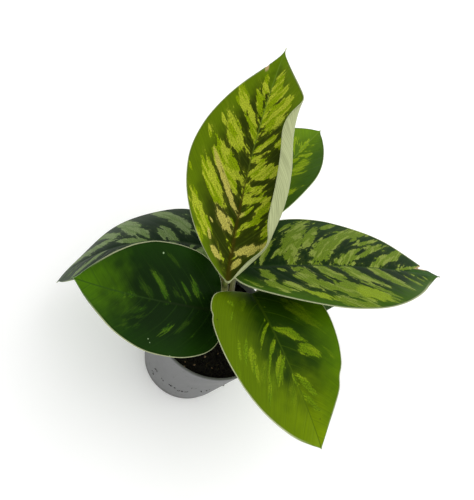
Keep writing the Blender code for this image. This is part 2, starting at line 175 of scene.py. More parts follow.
def tube_mesh(path, radii, sides):
    """Points, faces and (turn, way) places of a rod with closed ends."""
    path = np.asarray(path)
    along = np.gradient(path, axis=0)
    along /= np.linalg.norm(along, axis=1)[:, None]
    way = np.concatenate([[0], np.cumsum(np.linalg.norm(np.diff(path, axis=0), axis=1))])
    side = np.cross(along[0], (0.31, 0.95, 0.11))
    points = []
    places = []
    for centre, forward, radius, distance in zip(path, along, radii, way):
        side = unit(side - forward * np.dot(side, forward))
        up = np.cross(forward, side)
        for k in range(sides):
            angle = 2 * math.pi * k / sides
            points.append(centre + radius * (math.cos(angle) * side + math.sin(angle) * up))
            places.append((k / sides, distance / 0.1))
    faces = [tuple(reversed(range(sides)))]
    for ring in range(len(path) - 1):
        low = ring * sides
        for k in range(sides):
            after = (k + 1) % sides
            faces.append((low + k, low + after, low + after + sides, low + k + sides))
    last = (len(path) - 1) * sides
    faces.append(tuple(range(last, last + sides)))
    return np.array(points), faces, places


def turned_mesh(profile, sides):
    """Spin an outline that starts and ends on the axis."""
    points = [(0, 0, profile[0][1])]
    for radius, z in profile[1:-1]:
        for k in range(sides):
            angle = 2 * math.pi * k / sides
            points.append((radius * math.cos(angle), radius * math.sin(angle), z))
    points.append((0, 0, profile[-1][1]))
    rings = len(profile) - 2
    faces = []
    for k in range(sides):
        after = (k + 1) % sides
        faces.append((0, 1 + after, 1 + k))
        for ring in range(rings - 1):
            low = 1 + ring * sides
            faces.append((low + k, low + after, low + after + sides, low + k + sides))
        last = 1 + (rings - 1) * sides
        faces.append((last + k, last + after, len(points) - 1))
    return points, faces


def dress(piece, node):
    """The piece rides on the plant and stands for a node of the frame."""
    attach(piece, "root")
    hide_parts(node)
    return piece


print("mesh helpers ready")

# %% [markdown]
# A homalomena blade is a heart or egg shape that hangs from its midrib. We
# could sculpt each leaf, but seven leaves of one plant share one law: a bent
# midrib, an outline across it, and a cross-section that cups and rolls.
# The same law and the same sizes made the solids, so the fine blades fall
# exactly where the plain ones are.

# %% The law of one leaf
MIDRIB_STEPS = 32
SECTION_STEPS = 14


def place(x, y, z):
    """A point given in millimetres, as metres."""
    return np.array([x, y, z]) * MM


@dataclass
class Leaf:
    """Angles are in degrees. Left and right are seen from the stalk."""

    name: str
    base: np.ndarray
    socket: float
    length: float
    width: float
    azimuth: float
    rise: float
    droop: float
    sweep: float = 0
    roll: float = 0
    twist: float = 0
    arch: float = 1.0
    taper: float = 2.6
    fullness: float = 1.0
    skew: float = 0
    drip_tip: float = 0.03
    lobe: float = 0.07
    cup_left: float = 12
    cup_right: float = 12
    curl_left: float = 0
    curl_right: float = 0
    wave: float = 0.012
    waves: float = 3.0
    phase: float = 0.0
    fold: float = 0
    fold_from: float = 0.5
    fold_end: float = 0.6
    pinch: float = 0
    pinch_at: float = 0.3
    stalk: tuple = ()


def smooth_step(value):
    value = np.clip(value, 0, 1)
    return value * value * (3 - 2 * value)


def midrib(leaf):
    """Points along the midrib, with its direction, its left and its up."""
    share = np.linspace(0, 1, MIDRIB_STEPS + 1)
    heading = np.radians(leaf.azimuth + leaf.sweep * share)
    slope = np.radians(leaf.rise - leaf.droop * share ** leaf.arch)
    flat = np.stack([np.cos(heading), np.sin(heading), 0 * share], -1)
    along = np.cos(slope)[:, None] * flat + np.sin(slope)[:, None] * np.array([0, 0, 1])
    steps = (along[1:] + along[:-1]) / 2 * leaf.length / MIDRIB_STEPS
    points = leaf.base + np.concatenate([np.zeros((1, 3)), np.cumsum(steps, 0)])
    left = np.stack([-np.sin(heading), np.cos(heading), 0 * share], -1)
    up = np.cross(along, left)
    lean = np.radians(leaf.roll + leaf.twist * share)[:, None]
    leaned_left = np.cos(lean) * left + np.sin(lean) * up
    leaned_up = np.cos(lean) * up - np.sin(lean) * left
    return points, along, leaned_left, leaned_up


def outline(leaf, tau, side):
    """How far along and how far to the left a place lies when pressed flat."""

    def bell(t):
        return np.sin(np.pi * np.clip(t, 0, 1)) ** leaf.fullness * (1 - t ** leaf.taper)

    half_width = leaf.width / 2 * bell(tau) / bell(np.linspace(0, 1, 400)).max()
    margin = (1 - leaf.drip_tip) * (1 - np.cos(np.pi * tau)) / 2
    margin = margin + leaf.drip_tip * tau ** 14
    margin = margin - leaf.lobe * np.sin(2 * np.pi * np.clip(tau, 0, 0.5))
    start = tau ** 1.5
    along = leaf.length * (start + (margin - start) * np.abs(side) ** 1.3)
    across = side * half_width * np.where(side >= 0, 1 + leaf.skew, 1 - leaf.skew)
    return along, across


def fold_share(leaf, tau):
    """How much of its full roll the right margin has at a place."""
    opening = smooth_step((tau + 0.04) / 0.16) * smooth_step((leaf.fold_end + 0.08 - tau) / 0.16)
    return opening * (1 - leaf.pinch * np.exp(-((tau - leaf.pinch_at) / 0.06) ** 2))


def blade_surface(leaf, tau, side):
    """Points of the blade's glossy side in space."""
    tau, side = np.broadcast_arrays(tau, side)
    along, across = outline(leaf, tau, side)
    where = np.clip(along / leaf.length, 0, 1) * MIDRIB_STEPS
    knots = np.arange(MIDRIB_STEPS + 1)

    def at(values):
        return np.stack([np.interp(where, knots, values[:, i]) for i in range(3)], -1)

    centre, forward, left, up = (at(values) for values in midrib(leaf))
    centre = centre + np.minimum(along, 0)[..., None] * forward
    is_left = side >= 0
    reach = np.abs(side)
    cup = np.where(is_left, leaf.cup_left, leaf.cup_right)
    curl = np.where(is_left, leaf.curl_left, leaf.curl_right)
    fold = np.where(is_left, 0, leaf.fold) * fold_share(leaf, tau)
    out = np.zeros_like(across)
    height = np.zeros_like(across)
    for step in range(SECTION_STEPS):
        share = reach * (step + 0.5) / SECTION_STEPS
        rolled = smooth_step((share - leaf.fold_from) / (1 - leaf.fold_from))
        angle = np.radians(cup + curl * share + fold * rolled)
        out += np.cos(angle) * np.abs(across) / SECTION_STEPS
        height += np.sin(angle) * np.abs(across) / SECTION_STEPS
    ripple = np.sin(2 * np.pi * leaf.waves * tau + leaf.phase + np.where(is_left, 0, 1.3))
    height = height + leaf.wave * leaf.width * reach ** 2.2 * ripple * np.sin(np.pi * tau)
    out = np.where(is_left, out, -out)
    return centre + out[..., None] * left + height[..., None] * up


print("the leaf's law is defined")

# %% [markdown]
# Now the seven leaves. The newest one stands up from the middle with its
# right margin rolled over, and the older ones hang out round it.
# These are the sizes that the solids were made from.

# %% Seven leaves
LEAVES = [
    Leaf(
        "leaf_upright", base=place(-6.2, -1.8, 91), socket=None,
        length=126.5 * MM, width=60 * MM, azimuth=120.5, rise=15.5, droop=6,
        sweep=-13.5, roll=3, twist=-41.5, arch=1.5, taper=3.5, fullness=1.55,
        skew=-0.04, drip_tip=0.025, lobe=0, cup_left=13.5, cup_right=13,
        curl_left=-5.5, curl_right=7, wave=0.008, phase=0.5, fold=160,
        fold_from=0.48, fold_end=0.62, pinch=0.42, pinch_at=0.24,
        stalk=(place(-2, 2.5, 66), place(-5.4, 4.6, 77), place(-6.5, 0.6, 84.5)),
    ),
    Leaf(
        "leaf_right", base=place(-6.7, 11.7, 85.1), socket=80,
        length=125 * MM, width=67 * MM, azimuth=44.8, rise=7.5, droop=26,
        sweep=-0.5, roll=-21.3, twist=3.5, arch=0.8, taper=3.4, fullness=1.75,
        skew=0.063, drip_tip=0.01, lobe=0.095, cup_left=5, cup_right=9.3,
        curl_left=-11, curl_right=-8.5, phase=1.0,
        stalk=(place(-0.5, 8.5, 66), place(-5.4, 10.4, 78)),
    ),
    Leaf(
        "leaf_front", base=place(6, 9, 79.4), socket=320,
        length=81.5 * MM, width=59.5 * MM, azimuth=-38, rise=27.5, droop=66.5,
        sweep=22.5, roll=-3, twist=6, arch=0.8, taper=2.05, fullness=0.92,
        drip_tip=0.02, lobe=0.08, cup_left=10.5, cup_right=12, curl_left=-10,
        curl_right=-7.5, phase=2.2, stalk=(place(5, 1, 63), place(6, 8, 73)),
    ),
    Leaf(
        "leaf_left", base=place(-2.5, -7.6, 75), socket=260,
        length=74.5 * MM, width=51 * MM, azimuth=221.5, rise=15, droop=-15,
        sweep=-1.5, roll=-11, twist=-3, arch=1.25, taper=2.95, fullness=0.92,
        skew=-0.03, drip_tip=0.02, lobe=0.08, cup_left=11.5, cup_right=12.5,
        curl_left=-9.5, curl_right=6, wave=0.006, phase=0.2,
        stalk=(place(-1, -7, 62), place(-1.5, -7.5, 69)),
    ),
    Leaf(
        "leaf_left_back", base=place(-23.6, 17.0, 75.0), socket=200,
        length=91 * MM, width=53 * MM, azimuth=202, rise=0, droop=74,
        sweep=32, roll=9.5, twist=30, arch=0.8, taper=1.9, fullness=0.75,
        skew=-0.04, drip_tip=0.04, lobe=0.08, cup_left=8.5, cup_right=4.5,
        curl_left=-14, curl_right=-20, wave=0.01, phase=1.7,
        stalk=(place(-11, 2, 61), place(-20, 11, 70)),
    ),
    Leaf(
        "leaf_back", base=place(-20, 39, 74.3), socket=140,
        length=75 * MM, width=45 * MM, azimuth=91, rise=20.5, droop=22,
        sweep=-5.5, roll=-20, twist=28.5, arch=1.25, taper=2.85, skew=0.03,
        lobe=0.07, cup_left=16, cup_right=25, curl_left=-1, curl_right=17,
        phase=2.9, stalk=(place(-8, 14, 62), place(-16, 30, 69)),
    ),
    Leaf(
        "leaf_small", base=place(8.1, 22.9, 66.6), socket=20,
        length=50 * MM, width=30 * MM, azimuth=40.5, rise=6, droop=41.5,
        sweep=-8.5, roll=10, twist=8.5, arch=1.25, taper=2.45, skew=0.03,
        drip_tip=0.07, cup_left=12, cup_right=7.5, curl_left=-8,
        curl_right=-16.5, wave=0.015, phase=0.9,
        stalk=(place(7.5, 8, 57), place(8.5, 17, 62)),
    ),
]
print(len(LEAVES), "leaves, longest", round(max(leaf.length for leaf in LEAVES) * 1000), "mm")

# %% [markdown]
# Colour on a leaf follows its veins, so a shader needs to know where on the
# pressed leaf a point lies. We write that into two UV maps: Flat holds the
# place in centimetres, and Place holds the way along and out.
# Side veins leave the midrib at a slant that grows towards the tip, and bend
# forward on their way out. This group turns the flat place into the vein that
# passes through it, and the distance out along it. Every pattern below is
# drawn in these two directions.

# %% Shader helpers


class Wires:
    """Adds nodes to a tree. A number sets a socket, and a socket is linked."""

    def __init__(self, tree):
        self.tree = tree

    def feed(self, socket, value):
        if isinstance(value, bpy.types.NodeSocket):
            self.tree.links.new(value, socket)
        else:
            socket.default_value = value

    def add(self, kind, **settings):
        node = self.tree.nodes.new("ShaderNode" + kind)
        for key, value in settings.items():
            setattr(node, key, value)
        return node

    def math(self, operation, *values, clamp=False):
        node = self.add("Math", operation=operation, use_clamp=clamp)
        for socket, value in zip(node.inputs, values):
            self.feed(socket, value)
        return node.outputs[0]

    def mix(self, share, first, second, blend="MIX"):
        node = self.add("Mix", data_type="RGBA", blend_type=blend)
        self.feed(node.inputs[0], share)
        self.feed(node.inputs[6], first)
        self.feed(node.inputs[7], second)
        return node.outputs[2]

    def ramp(self, value, low, high, start=0.0, end=1.0):
        node = self.add("MapRange", interpolation_type="SMOOTHSTEP")
        for socket, item in zip(node.inputs, (value, low, high, start, end)):
            self.feed(socket, item)
        return node.outputs[0]

    def noise(self, vector, scale, detail=2.0, roughness=0.5):
        node = self.add("TexNoise")
        self.feed(node.inputs["Vector"], vector)
        self.feed(node.inputs["Scale"], scale)
        self.feed(node.inputs["Detail"], detail)
        self.feed(node.inputs["Roughness"], roughness)
        return node.outputs["Fac"]

    def join(self, x, y, z):
        node = self.add("CombineXYZ")
        for socket, value in zip(node.inputs, (x, y, z)):
            self.feed(socket, value)
        return node.outputs[0]

    def split(self, vector):
        node = self.add("SeparateXYZ")
        self.feed(node.inputs[0], vector)
        return node.outputs

    def group(self, tree, **values):
        node = self.add("Group", node_tree=tree)
        for label, value in values.items():
            self.feed(node.inputs[label.replace("_", " ")], value)
        return node.outputs

    def bump(self, height, distance, strength=1.0):
        node = self.add("Bump")
        self.feed(node.inputs["Height"], height)
        node.inputs["Distance"].default_value = distance
        node.inputs["Strength"].default_value = strength
        return node.outputs["Normal"]


def new_group(name, inputs, outputs):
    """An empty node group with its sockets. Gives its wires and both ends."""
    tree = bpy.data.node_groups.new(name, "ShaderNodeTree")
    for label, kind, value in inputs:
        socket = tree.interface.new_socket(label, in_out="INPUT", socket_type="NodeSocket" + kind)
        socket.default_value = value
    for label, kind in outputs:
        tree.interface.new_socket(label, in_out="OUTPUT", socket_type="NodeSocket" + kind)
    ends = tree.nodes.new("NodeGroupInput"), tree.nodes.new("NodeGroupOutput")
    return Wires(tree), ends[0].outputs, ends[1].inputs


def new_material(name):
    material = bpy.data.materials.new(name)
    material.use_nodes = True
    wires = Wires(material.node_tree)
    return material, wires, material.node_tree.nodes["Principled BSDF"]


# %% Vein directions, as a node group
VEIN_SLANT = 0.6
VEIN_GAIN = 0.04
VEIN_BEND = 0.12


def make_vein_group():
    """Flat place in centimetres in; vein number, way out and side out."""
    wires, given, result = new_group(
        "Vein Directions",
        [
            ("Flat", "Vector", (0, 0, 0)), ("Slant", "Float", VEIN_SLANT),
            ("Gain", "Float", VEIN_GAIN), ("Bend", "Float", VEIN_BEND),
        ],
        [("Vein", "Float"), ("Out", "Float"), ("Side", "Float")],
    )
    x, y, _ = wires.split(given["Flat"])
    out = wires.math("ABSOLUTE", y)
    lean = wires.math("ADD", given["Slant"], wires.math("MULTIPLY", x, given["Gain"]))
    lean = wires.math("MULTIPLY", out, lean)
    bend = wires.math("MULTIPLY", wires.math("MULTIPLY", out, out), given["Bend"])
    vein = wires.math("SUBTRACT", wires.math("SUBTRACT", x, lean), bend)
    wires.feed(result["Vein"], vein)
    wires.feed(result["Out"], out)
    wires.feed(result["Side"], wires.math("SIGN", y))
    return wires.tree


VEIN_DIRECTIONS = make_vein_group()
print("node group", VEIN_DIRECTIONS.name)

# %% [markdown]
# The pale patches look torn: each is a blot whose ends are stepped, because a
# leaf grows in narrow strips of cells along its veins, and every strip stops
# at its own place. So we cut the leaf into narrow strips along the veins and
# slide each strip by its own random length. All that is drawn afterwards is
# read at the slid place, so its ends come out stepped.

# %% Strips, as a node group


def make_strip_group():
    """Vein directions in; the slid way out, a chance for each strip, a seed."""
    wires, given, result = new_group(
        "Leaf Strips",
        [
            ("Vein", "Float", 0.0), ("Out", "Float", 0.0), ("Side", "Float", 1.0),
            ("Seed", "Float", 0.0), ("Strip Width", "Float", 0.1), ("Slide", "Float", 0.3),
        ],
        [("Slid", "Float"), ("Chance", "Float"), ("Shift", "Float")],
    )
    shift = wires.math("ADD", wires.math("MULTIPLY", given["Side"], 7.3), given["Seed"])
    wobble = wires.noise(wires.join(given["Vein"], given["Out"], shift), 3.0, 1.0)
    strips = wires.math("DIVIDE", given["Vein"], given["Strip Width"])
    strips = wires.math("ADD", strips, wires.math("MULTIPLY", wobble, 4.0))
    chance = wires.add("TexWhiteNoise", noise_dimensions="2D")
    wires.feed(chance.inputs["Vector"], wires.join(wires.math("FLOOR", strips), shift, 0.0))
    red, green, _ = wires.split(chance.outputs["Color"])
    step = wires.math("MULTIPLY", wires.math("SUBTRACT", red, 0.5), given["Slide"])
    wires.feed(result["Slid"], wires.math("ADD", given["Out"], step))
    wires.feed(result["Chance"], wires.math("SUBTRACT", green, 0.5))
    wires.feed(result["Shift"], shift)
    return wires.tree


LEAF_STRIPS = make_strip_group()
print("node group", LEAF_STRIPS.name)

# %% [markdown]
# A soft noise alone gives clouds in the wrong places, and a painted image is
# not wanted. So the main blots are set one by one, as long ellipses that lie
# along the veins, and so are the dark islands in them. A noise only tears
# their edges and strews small stray blots between them.

# %% Patches, as a node group
BLOT_WIDTH = 0.6
BLOT_LENGTH = 1.2


def make_patch_group():
    """Slid places and the nearest blots in; masks of the patches out."""
    wires, given, result = new_group(
        "Leaf Patches",
        [
            ("Vein", "Float", 0.0), ("Out", "Float", 0.0), ("Slid", "Float", 0.0),
            ("Chance", "Float", 0.0), ("Shift", "Float", 0.0), ("Blot", "Float", 9.0),
            ("Faint", "Float", 9.0), ("Island", "Float", 9.0), ("Amount", "Float", 0.4),
            ("Tear", "Float", 2.2), ("Blot Width", "Float", BLOT_WIDTH),
            ("Blot Length", "Float", BLOT_LENGTH),
        ],
        [("Mask", "Float"), ("Faint", "Float"), ("Tone", "Float"), ("Near", "Float")],
    )
    blot_place = wires.join(
        wires.math("DIVIDE", given["Vein"], given["Blot Width"]),
        wires.math("DIVIDE", given["Slid"], given["Blot Length"]), given["Shift"],
    )
    torn_place = wires.join(
        wires.math("MULTIPLY", given["Vein"], 3.8), wires.math("MULTIPLY", given["Out"], 3.2), given["Shift"]
    )
    cloud = wires.math("SUBTRACT", wires.noise(blot_place, 1.0, 1.5, 0.5), 0.5)
    torn = wires.math("SUBTRACT", wires.noise(torn_place, 1.0, 5.0, 0.66), 0.5)
    ragged = wires.math("MULTIPLY", torn, given["Tear"])
    ragged = wires.math("ADD", ragged, wires.math("MULTIPLY", cloud, 0.4))
    ragged = wires.math("ADD", ragged, wires.math("MULTIPLY", given["Chance"], 0.12))
    stray = wires.math("ADD", cloud, wires.math("SUBTRACT", given["Amount"], 0.5))
    strewn = wires.math("MULTIPLY", stray, 4.0)
    level = wires.math("MAXIMUM", wires.math("SUBTRACT", 1.0, given["Blot"]), strewn)
    level = wires.math("MINIMUM", level, wires.math("SUBTRACT", given["Island"], 1.0))
    level = wires.math("ADD", level, ragged)
    faint = wires.math("ADD", wires.math("SUBTRACT", 1.0, given["Faint"]), ragged)
    tone = wires.noise(blot_place, 1.7, 1.0)
    tone = wires.math("ADD", tone, wires.math("MULTIPLY", given["Chance"], 0.2))
    wires.feed(result["Mask"], wires.ramp(level, -0.04, 0.04))
    wires.feed(result["Faint"], wires.ramp(faint, -0.1, 0.3))
    wires.feed(result["Tone"], tone)
    wires.feed(result["Near"], wires.ramp(level, -0.6, 0.0))
    return wires.tree


LEAF_PATCHES = make_patch_group()
print("node group", LEAF_PATCHES.name)

# %% [markdown]
# Between the few strong side veins the leaf is combed with very fine ones.
# Both catch the light as low ridges and show as faint lines of colour; on
# the strong ones that light line is partly their own colour and partly a
# painted highlight of the ridge. The strong ones repeat at an even spacing
# along the midrib, so a wave does it, and a noise that is stretched along
# the veins gives the combing.

# %% Side veins, as a node group


def make_side_vein_group():
    wires, given, result = new_group(
        "Side Veins",
        [
            ("Vein", "Float", 0.0), ("Out", "Float", 0.0), ("Side", "Float", 1.0),
            ("Spacing", "Float", 0.9), ("Line Width", "Float", 0.07),
        ],
        [("Line", "Float"), ("Comb", "Float")],
    )
    phase = wires.math("DIVIDE", given["Vein"], given["Spacing"])
    phase = wires.math("ADD", phase, wires.math("MULTIPLY", given["Side"], 0.22))
    nearest = wires.math("ABSOLUTE", wires.math("SUBTRACT", wires.math("FRACT", phase), 0.5))
    distance = wires.math("MULTIPLY", nearest, given["Spacing"])
    line = wires.ramp(distance, 0.0, given["Line Width"], 1.0, 0.0)
    thin = wires.ramp(given["Out"], 0.1, 2.6, 1.0, 0.25)
    comb_place = wires.join(
        wires.math("MULTIPLY", given["Vein"], 16.0), wires.math("MULTIPLY", given["Out"], 0.9), given["Side"]
    )
    wires.feed(result["Line"], wires.math("MULTIPLY", line, thin))
    wires.feed(result["Comb"], wires.noise(comb_place, 1.0, 3.0, 0.6))
    return wires.tree


SIDE_VEINS = make_side_vein_group()
print("node group", SIDE_VEINS.name)

# %% [markdown]
# Each leaf has the same finish with its own colours. The look of one leaf is
# a small set of named values: the ground colour beside the midrib, at the
# margin and at the tip, the colours of the patches, and its blots. A blot is
# given by its two ends, each as centimetres along and across the leaf, and
# by half its width. The upright leaf has cream blots as well, the two green
# leaves in front have faint ones that look like a bloom under the surface.
# Specks are small dots, each a place and a radius. A nick is a bite out of
# the margin: how far along the leaf, on which side, how deep and how wide.

# %% Looks of the seven leaves


@dataclass
class Look:
    middle: tuple
    margin: tuple
    tip: tuple
    patch: tuple
    patch_pale: tuple
    rib_base: tuple
    rib_tip: tuple
    under: tuple
    amount: float
    seed: float
    cream: tuple = None
    margin_right: tuple = None
    band_right: tuple = None
    rib_width: float = 0.12
    band: tuple = (0.35, 0.85)
    tip_from: float = 0.7
    feather: float = 0.1
    patch_reach: float = 0.85
    patch_end: float = 0.92
    slide: float = 0.07
    strip: float = 0.09
    tear: float = 2.2
    blot: tuple = (BLOT_WIDTH, BLOT_LENGTH)
    pale_from: float = 0.5
    faintness: float = 0.4
    mottle: float = 0.3
    # how strongly the light vein lines are drawn: partly the veins' own colour, partly a painted highlight on
    # their ridges
    vein_tint_and_highlight: float = 0.12
    vein_line: float = 0.07
    veins: tuple = (VEIN_SLANT, VEIN_GAIN, VEIN_BEND)
    # edge and the width below it set the painted highlight line along the margin
    edge: float = 0.6
    rim_highlight_width: float = 0.34
    gloss: float = 0.12
    blots: tuple = ()
    creams: tuple = ()
    faints: tuple = ()
    islands: tuple = ()
    specks: tuple = ()
    speck: tuple = (0.03, 0.02, 0.005)
    nicks: tuple = ()


